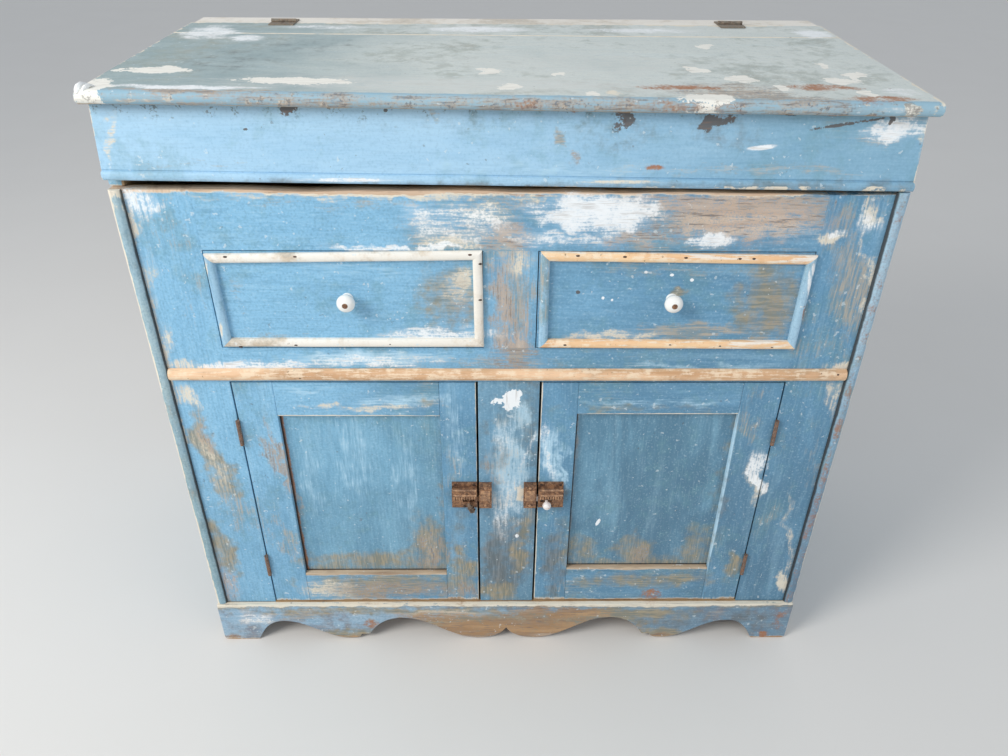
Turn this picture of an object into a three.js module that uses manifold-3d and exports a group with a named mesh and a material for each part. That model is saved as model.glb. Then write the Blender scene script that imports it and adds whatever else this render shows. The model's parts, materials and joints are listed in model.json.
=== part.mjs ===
// A painted dry sink: a cabinet with a lidded well on top, two drawers under the well
// and a two-door cupboard below. Millimetres, X across the front, Y towards the back, Z up.
// The front face of the face frame is the plane y = 0 until the whole group is centred.
import * as THREE from "three";
import { mergeVertices } from "three/addons/utils/BufferGeometryUtils.js";
import Module from "manifold-3d";

const wasm = await Module();
wasm.setup();

// Driving dimensions of the case
const case_width = 1118;
const case_depth = 540;
const rim_height = 924;
const frame_thickness = 22;
const side_thickness = 19;
const back_thickness = 14;
const end_stile_width = 111.5;
const centre_stile_upper_width = 81;
const centre_stile_lower_width = 100;
const top_rail_height = 91.5;
const drawer_opening_height = 164;
const middle_rail_height = 62.5;
const floor_thickness = 19;
const deck_thickness = 16;
const guide_height = 12;
const guide_width = 20;
const well_floor_thickness = 16;
const well_depth = 74;
const back_ground_gap = 45;

// The scalloped apron and the feet behind it
const apron_height = 97;
const apron_thickness = 11;
const foot_width = 69;
const outer_arch_height = 52;
const step_height = 13;
const inner_arch_height = 60;
const cusp_height = 30;
const lobe_ground_gap = 2.5;
const foot_corner_radius = 9;
const stile_foot_width = 60;
const stile_foot_height = 64;

// Mouldings on the case
const corner_moulding_width = 19.5;
const corner_moulding_depth = 8;
const waist_moulding_height = 22;
const waist_moulding_depth = 10;
const waist_moulding_rise = 3.5;

// The lid and the fixed strip behind it
const lid_thickness = 19;
const lid_side_overhang = 9;
const lid_front_overhang = 14;
const lid_rear_board_width = 101.5;
const lid_seam_gap = 0.5;
const lid_hinge_gap = 1;
const strip_width = 54;
const skirt_height = 117;
const skirt_thickness = 19;
const skirt_foot_front = -6;
const skirt_head_front = 8;
const skirt_front_gap = 8;
const bead_height = 13;
const bead_depth = 3;
const quirk_width = 2;
const quirk_depth = 1.5;
const strip_side_inset = 5;

// Doors
const door_thickness = 22;
const door_hinge_gap = 2.4;
const door_latch_gap = 3.5;
const door_end_gap = 2.5;
const door_hinge_stile_width = 65;
const door_latch_stile_width = 59.5;
const door_top_rail_heights = { left: 66, right: 62 };
const door_bottom_rail_heights = { left: 73, right: 86 };
const panel_recess = 10;
const panel_thickness = 8;
const panel_tongue = 9;
const groove_clearance = 0.3;

// Drawers
const drawer_gap = 1.5;
const drawer_front_thickness = 20;
const drawer_moulding_width = 14;
const drawer_moulding_depth = 8;
const drawer_side_thickness = 12;
const drawer_side_inset = 3;
const drawer_back_room = 58;
const drawer_head_room = 20.7;
const drawer_bottom_thickness = 6;
const drawer_bottom_rise = 6;
const drawer_knob_rise = 5;
const knob_radius = 14;
const knob_length = 28;
const knob_neck_radius = 6.5;
const knob_foot_radius = 9.5;
const knob_screw_radius = 3.2;
const knob_screw_depth = 1.5;

// Hinges
const door_hinge_length = 50;
const door_hinge_centre = 98;
const door_leaf_reach = 20;
const door_leaf_thickness = 1;
const lid_hinge_length = 44;
const lid_hinge_inset = 166;
const lid_leaf_reach = 28;
const lid_leaf_thickness = 2;
const barrel_radius = 3.4;
const pin_radius = 1.5;
const pin_clearance = 0.4;
const knuckle_clearance = 0.3;

// Cupboard latches
const latch_case_height = 51;
const latch_case_width = 44;
const latch_case_depth = 14;
const latch_flange_height = 9;
const latch_flange_depth = 4;
const latch_nose_chamfer = 4;
const keeper_width = 22;
const keeper_height = 49;
const keeper_depth = 13;
const keeper_wall = 3;
const bolt_height = 11;
const bolt_depth = 6;
const bolt_length = 40;
const bolt_rise = 13;
const bolt_back = 2.5;
const bolt_clearance = 0.4;
const bolt_tip_gap = 0.3;
const bolt_travel = 7;
const latch_knob_radius = 7.5;
const latch_knob_reach = 20;
const latch_neck_radius = 2.5;
const latch_knob_inset = 14.5;
const latch_stub_length = 7;
const latch_slot_height = 6;
const latch_slot_clearance = 1.5;
const latch_slot_spare = 6;

// General values
const seat_clearance = 0.3;
const overrun = 5;
const round_steps = 16;
const curve_steps = 10;
const bead_steps = 8;

// Planes worked out once and shared by the pieces that meet on them
const half_width = case_width / 2;
const side_inner = half_width - side_thickness;
const stile_inner = half_width - end_stile_width;
const back_front = case_depth - back_thickness;
const centre_upper_half = centre_stile_upper_width / 2;
const centre_lower_half = centre_stile_lower_width / 2;
const lid_underside = rim_height + skirt_height;
const lid_top_height = lid_underside + lid_thickness;
const lid_half_width = half_width + lid_side_overhang;
const strip_front = case_depth - strip_width;
const lid_rear_edge = strip_front - lid_hinge_gap;
const drawer_head_height = rim_height - top_rail_height;
const drawer_sill_height = drawer_head_height - drawer_opening_height;
const cupboard_top_height = drawer_sill_height - middle_rail_height;
const corner_moulding_inner = half_width - corner_moulding_width;
const waist_bottom = cupboard_top_height + waist_moulding_rise;
const deck_underside = drawer_sill_height - deck_thickness;
const floor_underside = apron_height - floor_thickness;
const well_floor_height = rim_height - well_depth;
const well_floor_underside = well_floor_height - well_floor_thickness;

const foremost = Math.max(lid_front_overhang, drawer_moulding_depth, knob_length,
  latch_case_depth + latch_knob_reach);
const depth_shift = (foremost - case_depth) / 2;

// Finishes
const finish = (color, roughness, metalness = 0) =>
  new THREE.MeshStandardMaterial({ color, roughness, metalness });
const blue_paint = () => finish(0x6fa0c4, 0.75);
const light_blue_paint = () => finish(0x8fbbe0, 0.7);
const lid_paint = () => finish(0x9fb4b6, 0.7);
const bare_pine = () => finish(0xc9986a, 0.8);
const inside_pine = () => finish(0xa88560, 0.85);
const cream_paint = () => finish(0xd9d0bd, 0.75);
const rusty_iron = () => finish(0x6b4a3c, 0.7, 0.5);
const white_painted_iron = () => finish(0xecece6, 0.35);
const porcelain = () => finish(0xf1efe8, 0.2);

// Lay a drawn outline across one axis: its own two axes become the other two.
const along_x = new THREE.Matrix4().makeBasis(
  new THREE.Vector3(0, 1, 0), new THREE.Vector3(0, 0, 1), new THREE.Vector3(1, 0, 0));
const along_y = new THREE.Matrix4().makeBasis(
  new THREE.Vector3(1, 0, 0), new THREE.Vector3(0, 0, 1), new THREE.Vector3(0, -1, 0));

function shape_of(points) {
  return new THREE.Shape(points.map(([a, b]) => new THREE.Vector2(a, b)));
}

function extruded(shape, depth) {
  return new THREE.ExtrudeGeometry(shape, {
    depth, bevelEnabled: false, curveSegments: curve_steps });
}

// An outline in Y and Z, run from one X to another
function run_x(shape, x0, x1) {
  return extruded(shape, x1 - x0).applyMatrix4(along_x).translate(x0, 0, 0);
}

// An outline in X and Z, run from one Y to another
function run_y(shape, y0, y1) {
  return extruded(shape, y1 - y0).applyMatrix4(along_y).translate(0, y1, 0);
}

// An outline in X and Y, run from one Z to another
function run_z(shape, z0, z1) {
  return extruded(shape, z1 - z0).translate(0, 0, z0);
}

function block(x0, x1, y0, y1, z0, z1) {
  return run_z(shape_of([[x0, y0], [x1, y0], [x1, y1], [x0, y1]]), z0, z1);
}

// The same block on the left (side -1) or the right (side 1), given by distances from the centre
function side_block(side, inner, outer, y0, y1, z0, z1) {
  const [x0, x1] = side < 0 ? [-outer, -inner] : [inner, outer];
  return block(x0, x1, y0, y1, z0, z1);
}

// A three.js geometry as a manifold solid, and back
function solid_of(geometry) {
  const bare = geometry.clone();
  bare.deleteAttribute("normal");
  bare.deleteAttribute("uv");
  const merged = mergeVertices(bare);
  return new wasm.Manifold(new wasm.Mesh({
    numProp: 3,
    vertProperties: merged.attributes.position.array,
    triVerts: new Uint32Array(merged.index.array),
  }));
}

function geometry_of(solid) {
  const mesh = solid.getMesh();
  const geometry = new THREE.BufferGeometry();
  geometry.setAttribute("position", new THREE.BufferAttribute(mesh.vertProperties, 3));
  geometry.setIndex(new THREE.BufferAttribute(mesh.triVerts, 1));
  geometry.computeVertexNormals();
  return geometry;
}

function joined(...geometries) {
  return geometry_of(geometries.map(solid_of).reduce((all, next) => all.add(next)));
}

function cut(geometry, ...tools) {
  return geometry_of(tools.map(solid_of).reduce((left, tool) => left.subtract(tool), solid_of(geometry)));
}

// A turned piece whose axis points out of the front face, towards -Y
function turned(profile, segments = round_steps) {
  const points = profile.map(([radius, reach]) => new THREE.Vector2(radius, reach));
  return new THREE.LatheGeometry(points, segments).rotateZ(Math.PI);
}

// Points of an arc, as pairs, with both of its ends
function arc_points(centre_a, centre_b, radius_a, radius_b, start, end, steps) {
  return Array.from({ length: steps + 1 }, (_, i) => {
    const angle = start + (end - start) * i / steps;
    return [centre_a + radius_a * Math.cos(angle), centre_b + radius_b * Math.sin(angle)];
  });
}

function piece(name, geometry, material) {
  const mesh = new THREE.Mesh(geometry, material);
  mesh.name = name;
  return mesh;
}

const sides = [["left", -1], ["right", 1]];

// The apron's lower edge on one half, drawn from the foot to the centre. The places of its
// arches, lobes and step are shares of the distance from the centre to the foot.
const outer_crown_share = 0.886;
const outer_lobe_share = 0.635;
const step_outer_share = 0.584;
const step_inner_share = 0.551;
const inner_crown_share = 0.412;
const inner_lobe_share = 0.118;
const ogee_handle_share = 0.36;
const rise_handle_share = 0.22;
const rise_height_share = 0.6;
const crown_handle_share = 0.5;
const cusp_handle_shares = [0.5, 0.83, 0.35];

function apron_half(side) {
  const path = new THREE.Path();
  const low = lobe_ground_gap;
  const foot_inner = half_width - foot_width;
  const step_outer = foot_inner * step_outer_share;
  const step_inner = foot_inner * step_inner_share;
  const inner_lobe = foot_inner * inner_lobe_share;
  path.moveTo(half_width, foot_corner_radius);
  path.quadraticCurveTo(half_width, 0, half_width - foot_corner_radius, 0);
  path.lineTo(foot_inner, 0);
  const climb = (from, from_height, crown, height) => path.bezierCurveTo(
    from + (crown - from) * rise_handle_share, from_height + (height - from_height) * rise_height_share,
    crown + (from - crown) * crown_handle_share, height, crown, height);
  const fall = (crown, height, lobe) => path.bezierCurveTo(
    crown + (lobe - crown) * ogee_handle_share, height,
    lobe + (crown - lobe) * ogee_handle_share, low, lobe, low);
  climb(foot_inner, 0, foot_inner * outer_crown_share, outer_arch_height);
  fall(foot_inner * outer_crown_share, outer_arch_height, foot_inner * outer_lobe_share);
  path.quadraticCurveTo(step_outer, low, step_outer, step_height);
  path.lineTo(step_inner, step_height);
  climb(step_inner, step_height, foot_inner * inner_crown_share, inner_arch_height);
  fall(foot_inner * inner_crown_share, inner_arch_height, inner_lobe);
  const [near_share, far_share, lift_share] = cusp_handle_shares;
  path.bezierCurveTo(inner_lobe * (1 - near_share), low,
    inner_lobe * (1 - far_share), low + (cusp_height - low) * lift_share, 0, cusp_height);
  return path.getPoints(curve_steps).map((point) => [side * point.x, point.y]);
}

function apron() {
  const right = apron_half(1);
  const left = apron_half(-1).reverse().slice(1);
  const outline = [...right, ...left, [-half_width, apron_height], [half_width, apron_height]];
  return run_y(shape_of(outline), -apron_thickness, 0);
}

// A side board, taller behind the lid where it carries the fixed strip
function side_board(side) {
  const outline = [
    [frame_thickness, 0], [back_front, 0], [back_front, lid_underside],
    [strip_front, lid_underside], [strip_front, rim_height], [frame_thickness, rim_height]];
  const [x0, x1] = side < 0 ? [-half_width, -side_inner] : [side_inner, half_width];
  return run_x(shape_of(outline), x0, x1);
}

// An end stile: full width above, a narrow foot behind the apron's foot
function end_stile(side) {
  const foot = half_width - stile_foot_width;
  const outline = [
    [half_width, 0], [half_width, rim_height], [stile_inner, rim_height],
    [stile_inner, stile_foot_height], [foot, stile_foot_height], [foot, 0]];
  return run_y(shape_of(outline.map(([x, z]) => [side * x, z])), 0, frame_thickness);
}

// The cupboard floor comes forward between the end stiles to the front face
function cupboard_floor() {
  const outline = [
    [-stile_inner, 0], [stile_inner, 0], [stile_inner, frame_thickness],
    [side_inner, frame_thickness], [side_inner, back_front], [-side_inner, back_front],
    [-side_inner, frame_thickness], [-stile_inner, frame_thickness]];
  return run_z(shape_of(outline), floor_underside, apron_height);
}

// Plan of one drawer, left or right of the centre stile
const drawer_inner = centre_upper_half + drawer_gap;
const drawer_outer = stile_inner - drawer_gap;
const drawer_width = drawer_outer - drawer_inner;
const drawer_centre = (drawer_inner + drawer_outer) / 2;
const drawer_foot = drawer_sill_height + drawer_gap;
const drawer_head = drawer_head_height - drawer_gap;
const drawer_box_foot = drawer_sill_height + seat_clearance;

// The board under the drawers, with raised guides beside each drawer box
function drawer_deck() {
  const top = drawer_sill_height;
  const raised = top + guide_height;
  const inner_guide = drawer_inner + drawer_side_inset - drawer_gap;
  const outer_guide = drawer_outer - drawer_side_inset + drawer_gap;
  const right = [
    [inner_guide, raised], [inner_guide, top], [outer_guide, top], [outer_guide, raised],
    [outer_guide + guide_width, raised], [outer_guide + guide_width, top], [side_inner, top],
    [side_inner, deck_underside]];
  const left = right.map(([x, z]) => [-x, z]).reverse();
  return run_y(shape_of([...right, ...left]), frame_thickness, back_front);
}

// A flattened half round that covers the corner seam
function corner_moulding(side) {
  const centre = corner_moulding_inner + corner_moulding_width / 2;
  const points = arc_points(
    side * centre, 0, corner_moulding_width / 2, corner_moulding_depth, Math.PI, 2 * Math.PI, bead_steps);
  return run_z(shape_of(points), apron_height, rim_height);
}

// The waist moulding has a rounded nose over its whole height
function waist_moulding() {
  const radius = waist_moulding_height / 2;
  const nose = arc_points(0, waist_bottom + radius, waist_moulding_depth, radius,
    3 * Math.PI / 2, Math.PI / 2, bead_steps);
  return run_x(shape_of(nose), -corner_moulding_inner, corner_moulding_inner);
}

const case_group = new THREE.Group();
for (const [name, side] of sides) {
  case_group.add(piece(`side_board_${name}`, side_board(side), blue_paint()));
  case_group.add(piece(`end_stile_${name}`, end_stile(side), blue_paint()));
  case_group.add(piece(`corner_moulding_${name}`, corner_moulding(side), light_blue_paint()));
}
case_group.add(
  piece("back_panel", block(-half_width, half_width, back_front, case_depth, back_ground_gap, lid_underside),
    inside_pine()),
  piece("cupboard_floor", cupboard_floor(), inside_pine()),
  piece("drawer_deck", drawer_deck(), inside_pine()),
  piece("well_floor", block(-side_inner, side_inner, frame_thickness, back_front,
    well_floor_underside, well_floor_height), inside_pine()),
  piece("top_rail", block(-stile_inner, stile_inner, 0, frame_thickness,
    drawer_head_height, rim_height), blue_paint()),
  piece("middle_rail", block(-stile_inner, stile_inner, 0, frame_thickness,
    cupboard_top_height, drawer_sill_height), blue_paint()),
  piece("centre_stile_upper", block(-centre_upper_half, centre_upper_half, 0, frame_thickness,
    drawer_sill_height, drawer_head_height), blue_paint()),
  piece("centre_stile_lower", block(-centre_lower_half, centre_lower_half, 0, frame_thickness,
    apron_height, cupboard_top_height), blue_paint()),
  piece("apron", apron(), blue_paint()),
  piece("waist_moulding", waist_moulding(), bare_pine()),
  piece("rear_strip", block(-lid_half_width + strip_side_inset, lid_half_width - strip_side_inset,
    strip_front, case_depth, lid_underside, lid_top_height), cream_paint()),
);

// The lid: two boards with a rounded front nosing on three skirts, the front one leaning back
function lid_board_front() {
  const radius = lid_thickness / 2;
  const nose_centre = -lid_front_overhang + radius;
  const nose = arc_points(nose_centre, lid_underside + radius, radius, radius,
    Math.PI / 2, 3 * Math.PI / 2, bead_steps);
  const seam = lid_rear_edge - lid_rear_board_width - lid_seam_gap;
  const outline = [[seam, lid_underside], [seam, lid_top_height], ...nose];
  return run_x(shape_of(outline), -lid_half_width, lid_half_width);
}

const front_skirt_foot = rim_height + skirt_front_gap;

// The front skirt's face, with a quirked bead along its lower edge, at a height above its foot
function skirt_front_line(height) {
  const lean_share = (height - front_skirt_foot) / (lid_underside - front_skirt_foot);
  return skirt_foot_front + (skirt_head_front - skirt_foot_front) * lean_share;
}

function skirt_front() {
  const bead = arc_points(skirt_foot_front, front_skirt_foot + bead_height / 2, bead_depth, bead_height / 2,
    3 * Math.PI / 2, Math.PI / 2, bead_steps);
  const quirk_foot = front_skirt_foot + bead_height;
  const quirk_head = quirk_foot + quirk_width;
  const outline = [
    ...bead,
    [skirt_front_line(quirk_foot) + quirk_depth, quirk_foot + quirk_width / 2],
    [skirt_front_line(quirk_head), quirk_head],
    [skirt_head_front, lid_underside],
    [skirt_head_front + skirt_thickness, lid_underside],
    [skirt_foot_front + skirt_thickness, front_skirt_foot]];
  return run_x(shape_of(outline), -half_width, half_width);
}

// A side skirt rests on the rim of its side board and stops behind the leaning front skirt
function skirt_side(side) {
  const bead = arc_points(half_width, rim_height + bead_height / 2, bead_depth, bead_height / 2,
    -Math.PI / 2, Math.PI / 2, bead_steps);
  const quirk_foot = rim_height + bead_height;
  const outline = [
    ...bead,
    [half_width - quirk_depth, quirk_foot + quirk_width / 2],
    [half_width, quirk_foot + quirk_width],
    [half_width, lid_underside], [half_width - skirt_thickness, lid_underside],
    [half_width - skirt_thickness, rim_height]];
  const board = run_y(shape_of(outline.map(([x, z]) => [side * x, z])), skirt_foot_front, lid_rear_edge);
  const room = skirt_thickness + seat_clearance;
  const slope = (skirt_head_front - skirt_foot_front) / (lid_underside - front_skirt_foot);
  const foot = rim_height - overrun;
  const head = lid_underside + overrun;
  const front_room = [
    [skirt_foot_front - overrun, foot], [skirt_front_line(foot) + room, foot],
    [skirt_front_line(foot) + slope * (head - foot) + room, head],
    [skirt_foot_front - overrun, head]];
  const reach = half_width + bead_depth + overrun;
  return cut(board, run_x(shape_of(front_room), -reach, reach));
}

const lid_group = new THREE.Group();
lid_group.add(
  piece("lid_board_front", lid_board_front(), lid_paint()),
  piece("lid_board_rear", block(-lid_half_width, lid_half_width, lid_rear_edge - lid_rear_board_width,
    lid_rear_edge, lid_underside, lid_top_height), lid_paint()),
  piece("lid_skirt_front", skirt_front(), light_blue_paint()),
);
for (const [name, side] of sides)
  lid_group.add(piece(`lid_skirt_${name}`, skirt_side(side), light_blue_paint()));

// One leaf of a butt hinge. Its axis is local Z, its plate reaches along +Y from beside the barrel
// and has its own share of the knuckles: the outer two with the pin, or the inner one with a bore.
const leaf_knuckle_shares = { outer: [[0, 0.34], [0.66, 1]], inner: [[0.34, 0.66]] };

function round_bar(radius, z0, z1) {
  const points = [[0, z0], [radius, z0], [radius, z1], [0, z1]];
  return new THREE.LatheGeometry(points.map(([r, z]) => new THREE.Vector2(r, z)), round_steps)
    .rotateX(Math.PI / 2);
}

function hinge_leaf({ length, reach, thickness, offset, knuckles, pinned }) {
  const half = length / 2;
  const plate_start = barrel_radius + knuckle_clearance;
  const plate = block(offset, offset + thickness, plate_start, reach, -half, half);
  const parts = leaf_knuckle_shares[knuckles].flatMap(([from_share, to_share]) => {
    const z0 = from_share * length - half + (from_share > 0 ? knuckle_clearance / 2 : 0);
    const z1 = to_share * length - half - (to_share < 1 ? knuckle_clearance / 2 : 0);
    const web = block(offset, offset + thickness, 0, plate_start + overrun, z0, z1);
    return [web, round_bar(barrel_radius, z0, z1)];
  });
  if (pinned) return joined(plate, ...parts, round_bar(pin_radius, -half, half));
  const bore = round_bar(pin_radius + pin_clearance, -half - overrun, half + overrun);
  return cut(joined(plate, ...parts), bore);
}

// Door hinge places: the barrels stand just clear of the front face, in the hinge gap
const barrel_front = -(barrel_radius + seat_clearance);
const door_hinge_place = stile_inner - door_hinge_gap / 2;
const door_foot = apron_height + door_end_gap;
const door_head = cupboard_top_height - door_end_gap;
const door_hinge_heights = { lower: door_foot + door_hinge_centre, upper: door_head - door_hinge_centre };

function door_leaf(side, on_frame) {
  const near = door_hinge_gap / 2 - door_leaf_thickness;
  const outward = on_frame ? side : -side;
  return hinge_leaf({
    length: door_hinge_length, reach: door_leaf_reach - barrel_front, thickness: door_leaf_thickness,
    offset: outward > 0 ? near : -near - door_leaf_thickness,
    knuckles: on_frame ? "outer" : "inner", pinned: on_frame });
}

for (const [name, side] of sides)
  for (const [level, height] of Object.entries(door_hinge_heights)) {
    const leaf = piece(`door_hinge_frame_leaf_${name}_${level}`, door_leaf(side, true), rusty_iron());
    leaf.position.set(side * door_hinge_place, barrel_front, height);
    case_group.add(leaf);
  }

// Lid hinge: the leaves lie on the boards, one on the fixed strip and one on the lid
const lid_axis_y = lid_rear_edge + lid_hinge_gap / 2;
const lid_axis_z = lid_top_height + barrel_radius + seat_clearance;

function lid_leaf(on_strip) {
  const leaf = hinge_leaf({
    length: lid_hinge_length, reach: lid_leaf_reach, thickness: lid_leaf_thickness,
    offset: -(barrel_radius + seat_clearance), knuckles: on_strip ? "outer" : "inner", pinned: on_strip });
  // Local Z lies along X, local X stands up, and the plate points back, or forward on the lid
  const across = new THREE.Vector3(0, 0, 1);
  const away = new THREE.Vector3(0, on_strip ? 1 : -1, 0);
  const axis = new THREE.Vector3().crossVectors(across, away);
  return leaf.applyMatrix4(new THREE.Matrix4().makeBasis(across, away, axis));
}

for (const [name, side] of sides) {
  const fixed = piece(`lid_hinge_strip_leaf_${name}`, lid_leaf(true), rusty_iron());
  const moving = piece(`lid_hinge_lid_leaf_${name}`, lid_leaf(false), rusty_iron());
  for (const leaf of [fixed, moving])
    leaf.position.set(side * (lid_half_width - lid_hinge_inset), lid_axis_y, lid_axis_z);
  case_group.add(fixed);
  lid_group.add(moving);
}

// A frame-and-panel door, its panel held in grooves, drawn by distances from the centre line
const door_inner = centre_lower_half + door_latch_gap;
const door_outer = stile_inner - door_hinge_gap;
const panel_front = panel_recess;
const groove_front = panel_front - groove_clearance;
const groove_back = panel_front + panel_thickness + groove_clearance;
const groove_depth = panel_tongue + groove_clearance;
const panel_light_inner = door_inner + door_latch_stile_width;
const panel_light_outer = door_outer - door_hinge_stile_width;

// A stile's plan: a plain board with a groove in the edge that faces the panel
function grooved_stile(side, plain_edge, grooved_edge) {
  const inward = Math.sign(plain_edge - grooved_edge);
  const groove = grooved_edge + inward * groove_depth;
  const outline = [
    [plain_edge, 0], [grooved_edge, 0], [grooved_edge, groove_front], [groove, groove_front],
    [groove, groove_back], [grooved_edge, groove_back], [grooved_edge, door_thickness],
    [plain_edge, door_thickness]];
  return run_z(shape_of(outline.map(([x, y]) => [side * x, y])), door_foot, door_head);
}

function grooved_rail(side, plain_edge, grooved_edge) {
  const inward = Math.sign(plain_edge - grooved_edge);
  const groove = grooved_edge + inward * groove_depth;
  const outline = [
    [0, plain_edge], [0, grooved_edge], [groove_front, grooved_edge], [groove_front, groove],
    [groove_back, groove], [groove_back, grooved_edge], [door_thickness, grooved_edge],
    [door_thickness, plain_edge]];
  const ends = [side * panel_light_inner, side * panel_light_outer].sort((a, b) => a - b);
  return run_x(shape_of(outline), ...ends);
}

// The latch's place on the door, and its bolt's: the tip bridges the door gap, just clear of the keeper
const latch_height_share = 0.49;
const latch_height = door_foot + (door_head - door_foot) * latch_height_share;
const bolt_foot = latch_height + bolt_rise;
const bolt_head = bolt_foot + bolt_height;
const bolt_middle = (bolt_foot + bolt_head) / 2;
const bolt_tip = centre_lower_half + bolt_tip_gap;
const latch_outer = door_inner + latch_case_width;
const latch_knob_place = door_inner + latch_knob_inset;

// A keeper screwed to the centre stile: a small cast box open towards its door
function latch_keeper(side) {
  const foot = latch_height + (latch_case_height - keeper_height) / 2;
  const inner = centre_lower_half - keeper_width;
  const shell = side_block(side, inner, centre_lower_half, -keeper_depth, 0, foot, foot + keeper_height);
  const hollow = side_block(side, inner + keeper_wall, centre_lower_half + overrun,
    -keeper_depth + keeper_wall, overrun,
    foot + keeper_wall, foot + keeper_height - keeper_wall);
  return cut(shell, hollow);
}

for (const [name, side] of sides)
  case_group.add(piece(`latch_keeper_${name}`, latch_keeper(side), rusty_iron()));

// The case of a rim latch: a flange, a stepped nose, a bolt channel and a slot for the knob
function latch_case(side) {
  const head = latch_height + latch_case_height;
  const shoulder = head - latch_flange_height;
  const outline = [
    [0, latch_height], [0, head], [-latch_flange_depth, head], [-latch_flange_depth, shoulder],
    [-latch_case_depth + latch_nose_chamfer, shoulder], [-latch_case_depth, shoulder - latch_nose_chamfer],
    [-latch_case_depth, latch_height + latch_nose_chamfer],
    [-latch_case_depth + latch_nose_chamfer, latch_height]];
  const [x0, x1] = side < 0 ? [-latch_outer, -door_inner] : [door_inner, latch_outer];
  const body = run_x(shape_of(outline), x0, x1);
  const channel = side_block(side, door_inner - overrun, bolt_tip + bolt_length + bolt_clearance,
    -bolt_back - bolt_depth - bolt_clearance, overrun,
    bolt_foot - bolt_clearance, bolt_head + bolt_clearance);
  const room = latch_neck_radius + latch_slot_clearance;
  const slot = side_block(side, latch_knob_place - bolt_travel - room,
    latch_knob_place + room + latch_slot_spare, -latch_case_depth - overrun, 0,
    bolt_middle - latch_slot_height / 2, bolt_middle + latch_slot_height / 2);
  return cut(body, channel, slot);
}

// A neck through the slot with a ball on it, or only the stub of a neck whose ball is gone
function latch_knob(side, whole) {
  const root = bolt_back + bolt_depth / 2;
  const tip = latch_case_depth + latch_knob_reach;
  const middle = tip - latch_knob_radius;
  const neck_angle = Math.asin(latch_neck_radius / latch_knob_radius);
  const ball = arc_points(middle, 0, latch_knob_radius, latch_knob_radius,
    Math.PI - neck_angle, 0, round_steps / 2).map(([reach, radius]) => [radius, reach]).slice(0, -1);
  const stub_end = latch_case_depth + latch_stub_length;
  const end = whole ? [...ball, [0, tip]] : [[latch_neck_radius, stub_end], [0, stub_end]];
  return turned([[0, root], [latch_neck_radius, root], ...end])
    .translate(side * latch_knob_place, 0, bolt_middle);
}

function latch_bolt(side, whole) {
  const bar = side_block(side, bolt_tip, bolt_tip + bolt_length,
    -bolt_back - bolt_depth, -bolt_back, bolt_foot, bolt_head);
  return joined(bar, latch_knob(side, whole));
}

function door(name, side) {
  const group = new THREE.Group();
  const light_foot = door_foot + door_bottom_rail_heights[name];
  const light_head = door_head - door_top_rail_heights[name];
  group.add(
    piece(`door_${name}_hinge_stile`, grooved_stile(side, door_outer, panel_light_outer), blue_paint()),
    piece(`door_${name}_latch_stile`, grooved_stile(side, door_inner, panel_light_inner), blue_paint()),
    piece(`door_${name}_top_rail`, grooved_rail(side, door_head, light_head), blue_paint()),
    piece(`door_${name}_bottom_rail`, grooved_rail(side, door_foot, light_foot), blue_paint()),
    piece(`door_${name}_panel`, side_block(side,
      panel_light_inner - panel_tongue, panel_light_outer + panel_tongue,
      panel_front, panel_front + panel_thickness,
      light_foot - panel_tongue, light_head + panel_tongue), blue_paint()),
    piece(`latch_case_${name}`, latch_case(side), rusty_iron()),
    piece(`latch_bolt_${name}`, latch_bolt(side, side > 0), side > 0 ? white_painted_iron() : rusty_iron()),
  );
  for (const [level, height] of Object.entries(door_hinge_heights)) {
    const leaf = piece(`door_hinge_door_leaf_${name}_${level}`, door_leaf(side, false), rusty_iron());
    leaf.position.set(side * door_hinge_place, barrel_front, height);
    group.add(leaf);
  }
  return group;
}

// A mitred frame of moulding: a section of [inset, depth] pairs carried round a rectangle
function mitred_frame(half_length, low, high, section) {
  const corners = [[-1, 0], [1, 0], [1, 1], [-1, 1]];
  const count = section.length;
  const positions = corners.flatMap(([a, b]) => section.flatMap(([inset, depth]) => [
    a * (half_length - inset), -depth, b ? high - inset : low + inset]));
  const index = corners.flatMap((_, corner) => section.flatMap((__, i) => {
    const next_corner = (corner + 1) % corners.length;
    const [here, there] = [corner * count + i, next_corner * count + i];
    const [here_next, there_next] = [corner * count + (i + 1) % count, next_corner * count + (i + 1) % count];
    return [here, there, there_next, here, there_next, here_next];
  }));
  const geometry = new THREE.BufferGeometry();
  geometry.setAttribute("position", new THREE.Float32BufferAttribute(positions, 3));
  geometry.setIndex(index);
  geometry.computeVertexNormals();
  return geometry;
}

const moulding_section_shares = [
  [0, 0], [0, 0.62], [0.12, 0.86], [0.32, 1], [0.52, 0.92], [0.68, 0.68], [0.82, 0.46], [1, 0.4], [1, 0]];

function drawer_moulding() {
  const section = moulding_section_shares.map(([across_share, proud_share]) => [
    across_share * drawer_moulding_width, proud_share * drawer_moulding_depth]);
  return mitred_frame(drawer_width / 2, drawer_foot, drawer_head, section);
}

// A porcelain knob: a foot, a neck, a shoulder and a domed head with a sunk screw
const knob_foot_share = 0.12;
const knob_neck_shares = [0.28, 0.34];
const knob_shoulder_share = 0.5;
const knob_head_share = 0.58;

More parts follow.
